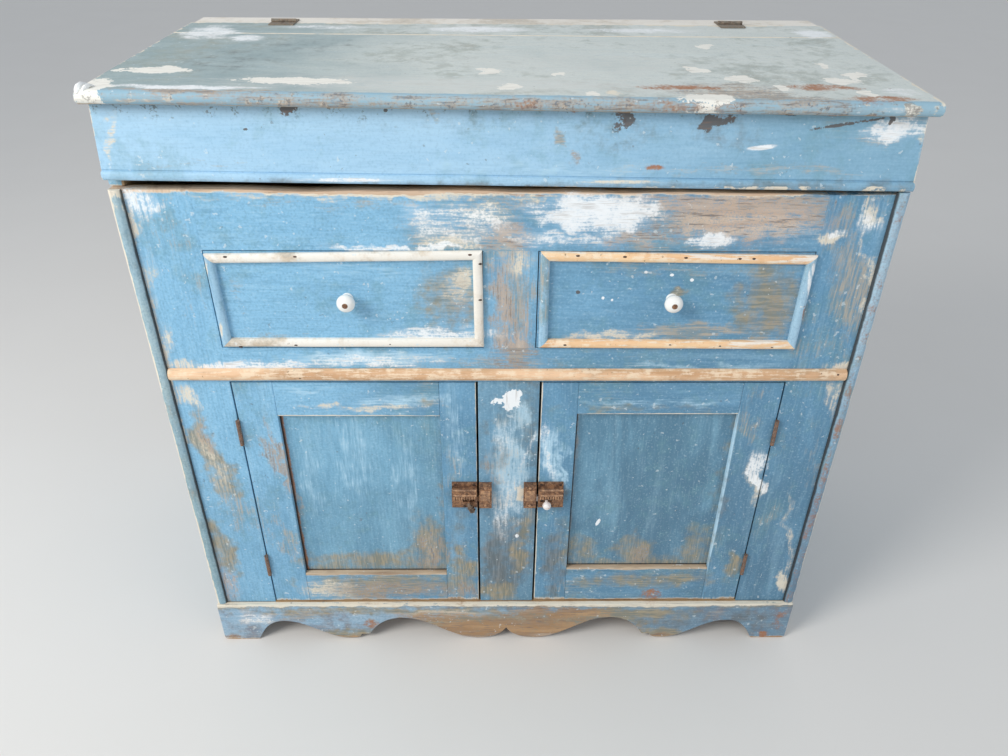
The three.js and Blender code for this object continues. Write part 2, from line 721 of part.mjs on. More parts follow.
function drawer_knob() {
  const head_start = knob_head_share * knob_length;
  const dome = arc_points(head_start, 0, knob_length - head_start, knob_radius,
    Math.PI / 2, Math.asin(knob_screw_radius / knob_radius), bead_steps).map(([out, r]) => [r, out]);
  const screw_face = dome[dome.length - 1][1] - knob_screw_depth;
  const [neck_start, neck_end] = knob_neck_shares.map((share) => share * knob_length);
  return turned([
    [0, 0], [knob_foot_radius, 0], [knob_foot_radius, knob_foot_share * knob_length],
    [knob_neck_radius, neck_start], [knob_neck_radius, neck_end],
    [(knob_neck_radius + knob_radius) / 2, knob_shoulder_share * knob_length],
    ...dome, [knob_screw_radius, screw_face], [0, screw_face]]);
}

// Sides and back of a drawer box in one dovetailed piece, open at the front for the drawer front
function drawer_box() {
  const outer = drawer_width / 2 - drawer_side_inset;
  const inner = outer - drawer_side_thickness;
  const back = back_front - drawer_back_room;
  const outline = [
    [-outer, drawer_front_thickness], [-inner, drawer_front_thickness],
    [-inner, back - drawer_side_thickness], [inner, back - drawer_side_thickness],
    [inner, drawer_front_thickness], [outer, drawer_front_thickness], [outer, back], [-outer, back]];
  return run_z(shape_of(outline), drawer_box_foot, drawer_head_height - drawer_head_room);
}

function drawer(name, side) {
  const group = new THREE.Group();
  const inner = drawer_width / 2 - drawer_side_inset - drawer_side_thickness;
  const bottom_foot = drawer_box_foot + drawer_bottom_rise;
  const knob = piece(`drawer_${name}_knob`, drawer_knob(), porcelain());
  knob.position.z = (drawer_foot + drawer_head) / 2 + drawer_knob_rise;
  group.add(
    piece(`drawer_${name}_front`, block(-drawer_width / 2, drawer_width / 2, 0, drawer_front_thickness,
      drawer_foot, drawer_head), blue_paint()),
    piece(`drawer_${name}_moulding`, drawer_moulding(), cream_paint()),
    piece(`drawer_${name}_box`, drawer_box(), inside_pine()),
    piece(`drawer_${name}_bottom`, block(-inner, inner, drawer_front_thickness,
      back_front - drawer_back_room - drawer_side_thickness,
      bottom_foot, bottom_foot + drawer_bottom_thickness), inside_pine()),
    knob,
  );
  group.position.x = side * drawer_centre;
  return group;
}

const cabinet = new THREE.Group();
cabinet.add(case_group, lid_group);
for (const [name, side] of sides) cabinet.add(door(name, side), drawer(name, side));
cabinet.position.y = depth_shift;

export default cabinet;
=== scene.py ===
"""The looks of an old blue-painted dry sink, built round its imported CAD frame. Metres, +Z up, the doors face -Y."""
import json
import math
import bmesh
import bpy
from mathutils import Matrix, Vector, noise


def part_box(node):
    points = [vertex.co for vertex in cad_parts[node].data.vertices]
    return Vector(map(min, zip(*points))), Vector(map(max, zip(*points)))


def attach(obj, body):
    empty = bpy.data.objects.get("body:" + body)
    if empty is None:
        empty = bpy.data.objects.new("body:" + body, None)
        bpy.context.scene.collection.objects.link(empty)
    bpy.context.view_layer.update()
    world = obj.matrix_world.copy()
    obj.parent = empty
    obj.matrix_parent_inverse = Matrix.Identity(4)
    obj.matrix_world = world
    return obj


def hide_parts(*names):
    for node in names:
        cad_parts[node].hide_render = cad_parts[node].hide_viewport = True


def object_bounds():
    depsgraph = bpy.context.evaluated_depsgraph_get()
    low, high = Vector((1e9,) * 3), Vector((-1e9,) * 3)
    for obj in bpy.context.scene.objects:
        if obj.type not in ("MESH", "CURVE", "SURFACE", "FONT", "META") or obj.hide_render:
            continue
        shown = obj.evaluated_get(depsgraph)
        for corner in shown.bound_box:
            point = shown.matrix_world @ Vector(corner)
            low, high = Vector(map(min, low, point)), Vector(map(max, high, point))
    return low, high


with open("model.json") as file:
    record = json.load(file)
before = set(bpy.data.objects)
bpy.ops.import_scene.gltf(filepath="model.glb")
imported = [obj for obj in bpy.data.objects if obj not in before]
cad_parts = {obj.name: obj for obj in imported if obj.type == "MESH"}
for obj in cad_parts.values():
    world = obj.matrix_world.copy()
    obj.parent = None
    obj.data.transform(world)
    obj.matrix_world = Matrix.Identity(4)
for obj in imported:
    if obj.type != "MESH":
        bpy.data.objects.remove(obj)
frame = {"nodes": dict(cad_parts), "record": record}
cad_low, cad_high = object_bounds()
BOX = {node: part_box(node) for node in frame["nodes"]}
BODY = {node: body for body, nodes in frame["record"]["behaviour"]["bodies"].items() for node in nodes}
SLOT = {part["node"]: part["material_slot"] for part in frame["record"]["subparts"]}
SIDES = (("left", -1), ("right", 1))
FRONT, RIM = BOX["top_rail"][0].y, BOX["top_rail"][1].z          # the face frame's front plane and its top
HALF = BOX["end_stile_right"][1].x
LID_LEFT, LID_FRONT, LID_UNDER = BOX["lid_board_front"][0]
LID_TOP = BOX["lid_board_front"][1].z
HINGE_Y = BOX["lid_board_rear"][1].y
SKIRT_FOOT = BOX["lid_skirt_front"][0].z
OUT = (0, -1, 0)                          # out of the front

# ---------------------------------------------------------------- camera of the photograph
WIDE, HIGH, FOCAL = 1008, 756, 809.157    # in pixels
SENSOR = 36                               # in millimetres
pitch, yaw, roll = (math.radians(a) for a in (32.856, 0.816, -0.479))
eye = Vector((-0.02353, FRONT - 1.08835, 1.31562))
ahead = Vector((math.sin(yaw) * math.cos(pitch), math.cos(yaw) * math.cos(pitch), -math.sin(pitch)))
level = Vector((math.cos(yaw), -math.sin(yaw), 0))
below = ahead.cross(level)
right = math.cos(roll) * level + math.sin(roll) * below
down = -math.sin(roll) * level + math.cos(roll) * below


def ray(u, v):
    return ahead + (u - WIDE / 2) / FOCAL * right + (v - HIGH / 2) / FOCAL * down


def on_front(u, v, y=0.0):
    """Where the photograph's pixel meets the upright plane y metres behind the face frame's front."""
    d = ray(u, v)
    return eye + d * ((FRONT + y - eye.y) / d.y)


def on_top(u, v):
    """Where the photograph's pixel meets the top of the lid."""
    d = ray(u, v)
    return eye + d * ((LID_TOP - eye.z) / d.z)


# ---------------------------------------------------------------- materials from nodes
SEED_SHIFT = (3.1, 1.7, 2.3)
RAGGED_SCALE, RAGGED_REACH = 26, (0.075, 0.026, 0.045)
SMALL_MARK = 0.006
ENDLESS = 1000


def lin(hex_color):
    """An sRGB colour written as 0xRRGGBB, as linear numbers."""
    out = []
    for shift in (16, 8, 0):
        c = (hex_color >> shift & 255) / 255
        out.append(c / 12.92 if c <= 0.04045 else ((c + 0.055) / 1.055) ** 2.4)
    return (*out, 1.0)


class Tree:
    """One material. A colour is a socket or 0xRRGGBB, any other value a socket or a number."""

    def __init__(self, name):
        self.mat = bpy.data.materials.new(name)
        self.mat.use_nodes = True
        self.nt = self.mat.node_tree
        self.bsdf = self.nt.nodes["Principled BSDF"]
        self.cache = {}
        self.p = self.make("TexCoord", {}, "Object")

    def put(self, socket, value):
        if isinstance(value, bpy.types.NodeSocket):
            self.nt.links.new(value, socket)
        else:
            socket.default_value = value

    def make(self, kind, inputs, out=0, **props):
        """One output of a new node of a kind, whose inputs are linked or set."""
        n = self.nt.nodes.new("ShaderNode" + kind)
        for key, value in props.items():
            setattr(n, key, value)
        for key, value in inputs.items():
            self.put(n.inputs[key], value)
        return n.outputs[out]

    def once(self, key, build):
        """What build makes, made only once for a key."""
        if key not in self.cache:
            self.cache[key] = build()
        return self.cache[key]

    def math(self, op, a, b=0.0):
        return self.make("Math", {0: a, 1: b}, operation=op)

    def add(self, a, b): return self.math("ADD", a, b)
    def sub(self, a, b): return self.math("SUBTRACT", a, b)
    def mul(self, a, b): return self.math("MULTIPLY", a, b)
    def most(self, a, b): return self.math("MAXIMUM", a, b)

    def swing(self, field, times):
        """A field of about 0 to 1, moved to swing round 0."""
        return self.mul(self.sub(field, 0.5), times)

    def sharper(self, field, times):
        """A field of about 0 to 1, stretched round its middle."""
        return self.add(self.swing(field, times), 0.5)

    def blend(self, value, weight, *rest):
        """The sum of values, each followed by its weight."""
        part = self.mul(value, weight)
        return self.add(part, self.blend(*rest)) if rest else part

    def scaled(self, x, y, z, seed=0.0):
        """The place, stretched, and moved by the seed."""
        return self.once(("scaled", x, y, z, seed), lambda: self.make("Mapping", {
            "Vector": self.p, "Location": tuple(seed * s for s in SEED_SHIFT), "Scale": (x, y, z)}))

    def noise(self, vector, scale=1.0, detail=4.0, rough=0.55, warp=0.0):
        return self.once(("noise", vector.node.name, scale, detail, rough, warp), lambda: self.make("TexNoise", {
            "Vector": vector, "Scale": scale, "Detail": detail, "Roughness": rough, "Distortion": warp}, "Fac"))

    def even(self, seed, *look):
        """Noise that is as long as it is wide: scale, detail, roughness, distortion."""
        return self.noise(self.scaled(1, 1, 1, seed), *look)

    def grain(self, axis, seed):
        """Broad figure and fine lines, both along the grain."""
        return (self.noise(self.scaled(*COARSE[axis], seed), 0.9, 5, 0.6, 0.4),
                self.noise(self.scaled(*FINE[axis], seed), 1.0, 4, 0.6))

    def step(self, value, low, high, to=1.0, start=0.0):
        return self.make("MapRange", {"Value": value, "From Min": low, "From Max": high, "To Min": start, "To Max": to},
                         "Result", interpolation_type="SMOOTHSTEP")

    def mix(self, share, a, b):
        a, b = (lin(c) if isinstance(c, int) else c for c in (a, b))
        return self.make("Mix", {"Factor": share, 6: a, 7: b}, 2, data_type="RGBA")

    def over(self, color, tint, *steps):
        """A tint over a colour, by a step: value, low, high, share past high, share before low."""
        return self.mix(self.step(*steps), color, tint)

    def axis(self, i):
        return self.once("axis", lambda: self.make("SeparateXYZ", {0: self.p})).node.outputs[i]

    def ragged(self):
        """The place, pushed about by a centimetre or two, so that no large mark keeps a drawn outline."""
        def build():
            push = self.make("TexNoise", {"Vector": self.p, "Scale": RAGGED_SCALE, "Detail": 4}, "Color")
            push = self.make("VectorMath", {0: push, 1: (0.5, 0.5, 0.5)}, operation="SUBTRACT")
            push = self.make("VectorMath", {0: push, 1: RAGGED_REACH}, operation="MULTIPLY")
            return self.make("VectorMath", {0: push, 1: self.p}, operation="ADD")
        return self.once("ragged", build)

    def ellipse(self, centre, radii, turn, flat, strength):
        """An ellipse on the front ("y") or the top ("z"): strength at its centre, softly 0 just past its edge."""
        on_face = flat == "y"
        place = self.make("Mapping", {
            "Vector": self.ragged() if min(radii) > SMALL_MARK else self.p, "Location": centre,
            "Rotation": (0, turn, 0) if on_face else (0, 0, turn),
            "Scale": (radii[0], ENDLESS, radii[1]) if on_face else (*radii, ENDLESS)}, vector_type="TEXTURE")
        length = self.make("VectorMath", {0: place}, "Value", operation="LENGTH")
        return self.step(length, 0.25, 1.3, 0.0, strength)

    def seam_and_shadow_lines(self, color, seams, field, tint, jitter, soft, share):
        """Dark lines along seams, and painted shadow lines along a recess, which are (axis, place, half width)."""
        for axis, at, half in seams:
            off = self.add(self.math("ABSOLUTE", self.sub(self.axis(axis), at)), self.swing(field, half * jitter))
            color = self.over(color, tint, off, half * (1 - soft), half * (1 + soft), 0.0, share)
        return color

    def finish(self, color, rough, height=None, bump=0.3, depth=0.001, spec=0.4, metal=0.0, coat=0.0):
        for key, value in (("Base Color", color), ("Roughness", rough), ("Metallic", metal),
                           ("Specular IOR Level", spec), ("Coat Weight", coat)):
            self.put(self.bsdf.inputs[key], value)
        if height is not None:
            relief = self.make("Bump", {"Strength": bump, "Distance": depth, "Height": height})
            self.put(self.bsdf.inputs["Normal"], relief)
        return self.mat


# ---------------------------------------------------------------- meshes
ORDER = {"x": (1, 2, 0), "y": (0, 2, 1), "z": (0, 1, 2)}      # the two axes across, then the one along
TINY = 1e-6
PROUD = 0.0008                                                # how far a screw's head stands out


def settle(name, bm, body, mat, slot="rusty_iron", nodes=(), sharp=32):
    """Makes the piece, with its finish, its body and the CAD nodes that it stands for."""
    for v in bm.verts:            # nothing stands outside the CAD's own box
        v.co = [max(cad_low[i], min(cad_high[i], v.co[i])) for i in range(3)]
    mesh = bpy.data.meshes.new(name)
    bmesh.ops.recalc_face_normals(bm, faces=bm.faces)
    bm.to_mesh(mesh)
    bm.free()
    obj = bpy.data.objects.new(name, mesh)
    bpy.context.scene.collection.objects.link(obj)
    for m in mat if isinstance(mat, tuple) else (mat,):
        mesh.materials.append(m)
    mesh.polygons.foreach_set("use_smooth", [True] * len(mesh.polygons))
    mesh.set_sharp_from_angle(angle=math.radians(sharp))
    obj.modifiers.new("weighted", "WEIGHTED_NORMAL").keep_sharp = True
    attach(obj, body)
    if nodes:
        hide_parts(*nodes)


def unit(value):
    return max(0.0, min(1.0, value))


def place3(axis, a, b, along):
    p = Vector()
    i, j, k = ORDER[axis]
    p[i], p[j], p[k] = a, b, along
    return p


def wander(p, amount, scale, seed=0.0):
    """A small smooth shift, the same for the same place, so that sawn edges aren't dead straight."""
    q = p * scale + Vector((seed, seed * 2.0, -seed))
    return Vector([noise.noise(q + Vector(off)) for off in ((0, 0, 0), (7, 3, 1), (1, 9, 4))]) * amount


def loft(bm, rings, mat=0):
    """A closed skin through the rings, with its two ends capped."""
    rows = [[bm.verts.new(p) for p in ring] for ring in rings]
    n = len(rings[0])
    faces = [bm.faces.new((a[i], a[(i + 1) % n], b[(i + 1) % n], b[i]))
             for a, b in zip(rows, rows[1:]) for i in range(n)]
    faces += [bm.faces.new(rows[0][::-1]), bm.faces.new(rows[-1])]
    for f in faces:
        f.material_index = mat


def arc(ca, cb, ra, rb, start, end, steps):
    return [(ca + ra * math.cos(math.radians(start + (end - start) * i / steps)),
             cb + rb * math.sin(math.radians(start + (end - start) * i / steps))) for i in range(steps + 1)]


def rounded_section(a0, a1, b0, b1, r, step):
    """A rounded rectangle as points, with spare points along its sides."""
    pts = []
    corners = [(a1 - r, b0 + r, -90), (a1 - r, b1 - r, 0), (a0 + r, b1 - r, 90), (a0 + r, b0 + r, 180)]
    for (ca, cb, start), nxt in zip(corners, corners[1:] + corners[:1]):
        bend = arc(ca, cb, r, r, start, start + 90, 3)
        here = Vector(bend[-1])
        there = Vector(arc(nxt[0], nxt[1], r, r, start + 90, start + 90, 1)[0])
        count = max(1, round((there - here).length / step))
        pts += bend + [tuple(here.lerp(there, k / count)) for k in range(1, count)]
    return pts


def board_into(bm, lo, hi, axis, r, step, across, amount):
    """A board with rounded edges and ends, slightly uneven. step and across are the spacing of its points."""
    i, j, k = ORDER[axis]
    r = min(r, (hi[i] - lo[i]) * 0.45, (hi[j] - lo[j]) * 0.45)
    count = max(2, round((hi[k] - lo[k]) / step))
    stops = [(lo[k], r), (lo[k] + r * 0.3, r * 0.3)]
    stops += [(lo[k] + r + (hi[k] - lo[k] - 2 * r) * s / count, 0.0) for s in range(count + 1)]
    stops += [(hi[k] - r * 0.3, r * 0.3), (hi[k], r)]
    full = rounded_section(lo[i], hi[i], lo[j], hi[j], r, across)
    ca, cb = (lo[i] + hi[i]) / 2, (lo[j] + hi[j]) / 2
    rings = []
    for along, inset in stops:
        ka = 1 - inset / max(TINY, (hi[i] - lo[i]) / 2)
        kb = 1 - inset / max(TINY, (hi[j] - lo[j]) / 2)
        ring = [place3(axis, ca + (a - ca) * ka, cb + (b - cb) * kb, along) for a, b in full]
        rings.append([p + (wander(p, amount, 9) + wander(p, amount * 0.4, 60)) for p in ring])
    loft(bm, rings)


def bar_into(bm, profile, x0, x1, step, amount):
    """A closed outline, as (y, z) points, carried from x0 to x1 and made slightly uneven."""
    count = max(2, round((x1 - x0) / step))
    rings = [[place3("x", a, b, x0 + (x1 - x0) * s / count) for a, b in profile] for s in range(count + 1)]
    loft(bm, [[p + (wander(p, amount, 9) + wander(p, amount * 0.5, 70)) for p in ring] for ring in rings])


def circle(middle, side, other, radius, segments):
    turns = [2 * math.pi * k / segments for k in range(segments)]
    return [middle + (side * math.cos(a) + other * math.sin(a)) * radius for a in turns]


def lathe_into(bm, centre, direction, profile, segments):
    """A turned form from (radius, reach) pairs along the direction."""
    d = Vector(direction).normalized()
    side = d.orthogonal().normalized()
    loft(bm, [circle(Vector(centre) + d * reach, side, d.cross(side), radius, segments) for radius, reach in profile])


def tube_into(bm, points, radii, segments):
    rings = []
    pts = [Vector(p) for p in points]
    side = (pts[1] - pts[0]).orthogonal().normalized()
    for i, (p, r) in enumerate(zip(pts, radii)):
        d = (pts[min(i + 1, len(pts) - 1)] - pts[max(i - 1, 0)]).normalized()
        side = (side - d * side.dot(d)).normalized()
        rings.append(circle(p, side, d.cross(side), r, segments))
    loft(bm, rings)


def screw_into(bm, centre, radius):
    """A screw's head in the front: a low dome whose foot is sunk by a millimetre."""
    sunk = 0.001
    lathe_into(bm, Vector(centre) - Vector(OUT) * sunk, OUT, [
        (radius * 0.9, 0), (radius, sunk), (radius, sunk + PROUD * 0.5), (radius * 0.75, sunk + PROUD),
        (radius * 0.1, sunk + PROUD * 1.05)], 20)


# ---------------------------------------------------------------- the lid's set: its right front corner hangs low
DROP_LEFT, DROP_MORE = 0.0005, 0.0125     # at the front: the drop at the left, and what is added towards the right
NICK_DEPTH, BREAK_REACH = 0.012, 0.03
SKIRT_RISE, SKIRT_FALL = 0.0065, 0.0125


def lid_drop(p):
    """How far the twisted old lid stands below its true place at a point."""
    front_share = unit((HINGE_Y - p.y) / (HINGE_Y - LID_FRONT))
    return front_share * (DROP_LEFT + DROP_MORE * unit((p.x + HALF) / (2 * HALF)))


def lid_warp(p):
    """The lid's set, a front edge nicked by use, and the corner broken off at the front left."""
    q = p - Vector((0, 0, lid_drop(p)))
    edge_share = max(0.0, 1 - (p.y - LID_FRONT) / NICK_DEPTH)
    q += Vector((0, 0.0012, -0.0006)) * (edge_share * max(0.0, noise.noise(p * 38) + 0.1))
    corner = (p - Vector((LID_LEFT, LID_FRONT, LID_TOP))).length
    if corner < BREAK_REACH:
        torn = (1 - corner / BREAK_REACH) * (0.6 + 0.8 * noise.noise(p * 160))
        q += Vector((0.006, 0.007, -0.004)) * max(0.0, torn)
    return q


def skirt_warp(p):
    """The front skirt follows the lid above, and its foot rises to the left and falls to the right."""
    up = unit((p.z - SKIRT_FOOT) / (LID_UNDER - SKIRT_FOOT))
    foot = SKIRT_RISE - SKIRT_FALL * unit((p.x + HALF) / (2 * HALF))
    return p + Vector((0, 0, foot * (1 - up) - lid_drop(p) * up))


def side_skirt_warp(p):
    """A side skirt follows the lid above, and its foot stays on the side board."""
    return p - Vector((0, 0, lid_drop(p) * unit((p.z - RIM) / (LID_UNDER - RIM))))


# ---------------------------------------------------------------- finishes
COARSE = {"x": (3.4, 42, 42), "y": (42, 3.4, 42), "z": (42, 42, 3.4)}
FINE = {"x": (30, 330, 330), "y": (330, 30, 330), "z": (330, 330, 30)}
SOFT_BLUE, DEEP_BLUE, LOW_BLUE = 0x8CC0DF, 0x6492B0, 0x587A90
MARK_REACH = 1.4                          # how far past its edge, in its own half widths, a mark still counts
SOLID_CHALK = 1.3                         # the strength from which chalky white lies thick
NARROW = 0.02                             # wear along an edge is a chipped line up to this width
MANY_MARKS = 26                           # from this number on, chips aren't in the relief: it keeps the shader small

# Wear, and some painted light and shade, that the photograph shows, by kind: pixel u, v, half width, half height,
# strength, and turn in degrees if any. Kinds: B bare wood, W chalky white, C cream ground, R rust, D dark chip and
# painted shade under the lid's nose; hazes: T grey-tan, L pale blue and a painted highlight, G grime and painted shade,
# O olive, P a painted sheen of light on the lid.
FRONT_MARKS = [
    # top rail
    ("W", (602, 214, 66, 21, 0.95), (600, 210, 34, 10, 1.2), (545, 208, 30, 9, 0.5), (714, 240, 30, 9, 0.85),
     (832, 236, 14, 5, 0.6), (872, 222, 12, 20, 0.4, -8), (140, 206, 22, 20, 0.7, 12), (400, 247, 80, 4, 0.7),
     (455, 222, 75, 22, 0.5), (560, 240, 60, 10, 0.5)),
    ("B", (740, 219, 112, 28, 0.8), (720, 203, 130, 12, 0.66), (640, 238, 60, 14, 0.5), (700, 188, 190, 6, 0.8),
     (520, 190, 70, 5, 0.8), (505, 236, 40, 22, 0.55)),
    ("T", (800, 205, 60, 12, 0.6), (440, 232, 60, 22, 0.6), (505, 205, 60, 16, 0.6), (330, 205, 120, 10, 0.35),
     (690, 250, 150, 8, 0.5), (840, 225, 22, 30, 0.6)),
    ("C", (450, 192, 90, 6, 0.8), (300, 190, 90, 3, 0.6), (827, 240, 18, 7, 0.8), (877, 213, 9, 15, 0.72, -8),
     (128, 240, 10, 40, 0.55, 12), (480, 215, 50, 14, 0.5), (455, 243, 42, 10, 0.5), (400, 196, 300, 5, 0.5)),
    ("G", (722, 214, 60, 12, 0.6), (655, 225, 40, 12, 0.55)),
    ("L", (790, 232, 50, 10, 0.5)),
    # between and beside the drawers
    ("T", (513, 300, 30, 62, 0.75), (852, 290, 22, 60, 0.8, -12), (195, 300, 14, 60, 0.22, 12),
     (812, 345, 26, 22, 0.35)),
    ("B", (512, 350, 30, 26, 0.6), (500, 300, 14, 60, 0.5), (528, 330, 9, 44, 0.4)),
    ("C", (513, 262, 30, 20, 0.42), (148, 300, 12, 70, 0.35, 12), (163, 350, 12, 26, 0.6, 10),
     (866, 300, 6, 90, 0.55, -12)),
    ("G", (513, 345, 34, 40, 0.35)),
    # middle rail
    ("W", (255, 367, 80, 8, 0.74), (380, 362, 90, 8, 0.42)),
    ("C", (190, 366, 30, 8, 0.6), (845, 366, 22, 7, 0.8)),
    ("L", (370, 359, 100, 9, 0.9), (700, 368, 120, 5, 0.5)),
    ("T", (510, 364, 60, 12, 0.6), (420, 362, 60, 8, 0.4)),
    # drawers
    ("O", (450, 303, 34, 50, 0.7), (765, 303, 44, 46, 0.85), (678, 294, 16, 6, 1.1)),
    ("B", (462, 305, 18, 40, 0.3), (772, 310, 20, 30, 0.28)),
    ("W", (440, 334, 70, 9, 0.66), (646, 272, 2, 1.6, 1.6), (672, 275, 2.2, 1.6, 1.6), (692, 280, 2, 1.6, 1.6),
     (603, 298, 1.6, 1.6, 1.6), (612, 300, 1.5, 1.5, 1.4)),
    ("C", (462, 286, 16, 26, 0.55), (610, 337, 60, 6, 0.7), (678, 294, 12, 4, 0.5)),
    ("T", (270, 335, 50, 6, 0.4), (240, 300, 8, 34, 0.3, 10), (705, 333, 90, 10, 0.85), (660, 270, 110, 8, 0.3)),
    ("L", (350, 270, 90, 8, 0.35)),
    ("D", (578, 292, 2.4, 2.2, 1.6)),
    # left end stile and left door
    ("C", (188, 398, 12, 18, 0.75, -12), (212, 458, 10, 44, 0.34, -12), (370, 408, 84, 4, 0.5),
     (330, 590, 40, 12, 0.5)),
    ("O", (212, 455, 16, 52, 0.95, -12), (222, 545, 18, 36, 0.95, -12), (425, 404, 16, 6, 0.7),
     (428, 545, 26, 34, 0.9), (375, 560, 84, 12, 0.85), (385, 586, 90, 17, 0.95), (464, 570, 16, 40, 0.8)),
    ("B", (208, 440, 8, 24, 0.45, -12), (226, 580, 16, 26, 0.55, -12), (266, 455, 10, 24, 0.55, -12),
     (432, 550, 18, 24, 0.62), (395, 590, 74, 12, 0.62), (468, 592, 12, 12, 0.6), (284, 470, 6, 60, 0.55, -8)),
    ("T", (236, 508, 14, 30, 0.55, -12), (200, 430, 8, 26, 0.5, -12), (262, 520, 8, 40, 0.4, -10),
     (288, 540, 10, 40, 0.5, -8), (450, 470, 12, 30, 0.35)),
    ("L", (400, 402, 60, 8, 0.7), (300, 388, 40, 5, 0.5), (455, 440, 10, 50, 0.4), (350, 460, 20, 60, 0.4),
     (405, 470, 14, 70, 0.35), (310, 480, 8, 60, 0.3)),
    ("G", (460, 540, 14, 50, 0.5)),
    # lower centre stile
    ("W", (507, 398, 13, 11, 2.2), (505, 440, 18, 26, 0.26), (506, 505, 16, 50, 0.3), (528, 450, 3, 34, 0.32, 20),
     (517, 536, 2, 2, 1.6)),
    ("C", (515.5, 494, 6.2, 7.2, 1.5)),
    # The first two grime marks, round the latches, are also painted shadow under the latch cases.
    ("G", (472, 499, 24, 17, 0.6), (545, 499, 26, 17, 0.6), (506, 560, 26, 50, 0.95), (498, 460, 16, 44, 0.5)),
    ("T", (500, 500, 20, 14, 0.5), (505, 465, 24, 30, 0.4)),
    ("L", (508, 470, 22, 66, 0.85), (515, 420, 16, 30, 0.6)),
    ("B", (490, 470, 8, 30, 0.32)),
    ("O", (520, 545, 9, 36, 0.7), (500, 592, 26, 12, 0.9)),
    # right door and right end stile
    ("L", (550, 455, 12, 34, 1), (562, 470, 5, 30, 0.8), (650, 404, 90, 4, 0.5)),
    ("W", (549, 460, 7, 28, 0.42), (548, 432, 5, 12, 0.5), (757, 474, 7, 24, 0.85, -10), (757, 470, 6, 18, 0.6, -10),
     (598, 522, 2, 4, 1.6, 20)),
    ("C", (755, 480, 9, 30, 0.5, -10), (782, 582, 8, 14, 0.85, -14), (790, 540, 6, 60, 0.4, -12),
     (830, 400, 8, 24, 0.5, -12)),
    ("O", (733, 562, 9, 18, 0.8), (632, 551, 22, 22, 0.9), (695, 550, 22, 30, 0.7), (580, 552, 24, 20, 0.7),
     (640, 580, 90, 10, 0.75), (640, 408, 100, 5, 0.4)),
    ("B", (634, 555, 14, 14, 0.5)),
    ("T", (575, 585, 30, 12, 0.4), (748, 420, 9, 34, 0.4, -10), (760, 395, 14, 10, 0.35), (815, 470, 8, 60, 0.3, -12)),
    ("R", (652, 595, 12, 8, 0.5)),
    ("G", (556, 560, 14, 50, 0.8), (720, 500, 10, 60, 0.5, -8)),
    # apron
    ("O", (507, 622, 150, 15, 1.4), (350, 631, 44, 9, 1.2), (655, 631, 42, 9, 1.2), (590, 610, 120, 9, 1.3),
     (400, 607, 180, 5, 0.9)),
    ("B", (507, 625, 140, 13, 0.95), (560, 609, 70, 9, 0.8), (440, 613, 60, 8, 0.6), (352, 634, 30, 6, 0.8),
     (655, 634, 30, 6, 0.8), (585, 609, 50, 6, 0.55), (240, 634, 16, 5, 0.6)),
    ("R", (765, 633, 9, 5, 0.75), (375, 620, 24, 6, 0.4), (778, 615, 8, 14, 0.35)),
    ("W", (255, 614, 26, 9, 0.42)),
    ("G", (740, 618, 50, 14, 0.7), (660, 618, 60, 8, 0.5)),
    ("C", (440, 610, 60, 6, 0.45)),
    ("T", (300, 612, 40, 7, 0.6)),
]
SKIRT_MARKS = [
    ("D", (292, 106.5, 17, 7, 1.25, -8), (310, 103, 16, 3, 0.6), (620, 119, 9, 18, 0.85, 8), (612, 110, 14, 5, 0.7),
     (716, 122, 17, 8, 1.05, -14), (716, 110, 24, 6, 0.85), (894, 121, 4.5, 4.5, 1.4), (352, 107, 4, 1.6, 1.2),
     (385, 112, 3, 2, 1.1), (455, 106, 4, 1.6, 1.1), (540, 108, 8, 2, 0.9), (655, 112, 8, 3, 0.9), (790, 116, 9, 2, 1),
     (245, 130, 3, 2, 0.9), (850, 125, 50, 2, 0.7, -9)),
    ("R", (720, 113, 16, 5, 0.6), (655, 167, 12, 3, 1), (408, 104, 6, 1.5, 1), (575, 112, 5, 3, 0.8),
     (690, 108, 8, 2, 1), (835, 116, 12, 2, 0.9), (760, 106, 160, 3, 0.4)),
    ("W", (897, 131, 38, 13, 0.78, -8), (762, 148, 17, 2.5, 1, -6), (350, 178, 60, 2.5, 0.8)),
    ("T", (880, 140, 30, 8, 0.5), (430, 116, 5, 10, 0.5), (560, 140, 9, 9, 0.9), (200, 165, 100, 6, 0.25),
     (740, 170, 160, 8, 0.4)),
    ("B", (569, 158, 8, 9, 0.6)),
    ("L", (600, 170, 300, 5, 0.35)),
    ("C", (104, 140, 5, 34, 0.5, 8), (925, 150, 6, 34, 0.5, -8), (330, 108, 60, 3, 0.4), (620, 180, 50, 2, 0.7)),
    ("G", (440, 125, 120, 12, 0.3), (620, 135, 60, 24, 0.4), (720, 130, 60, 20, 0.35)),
]
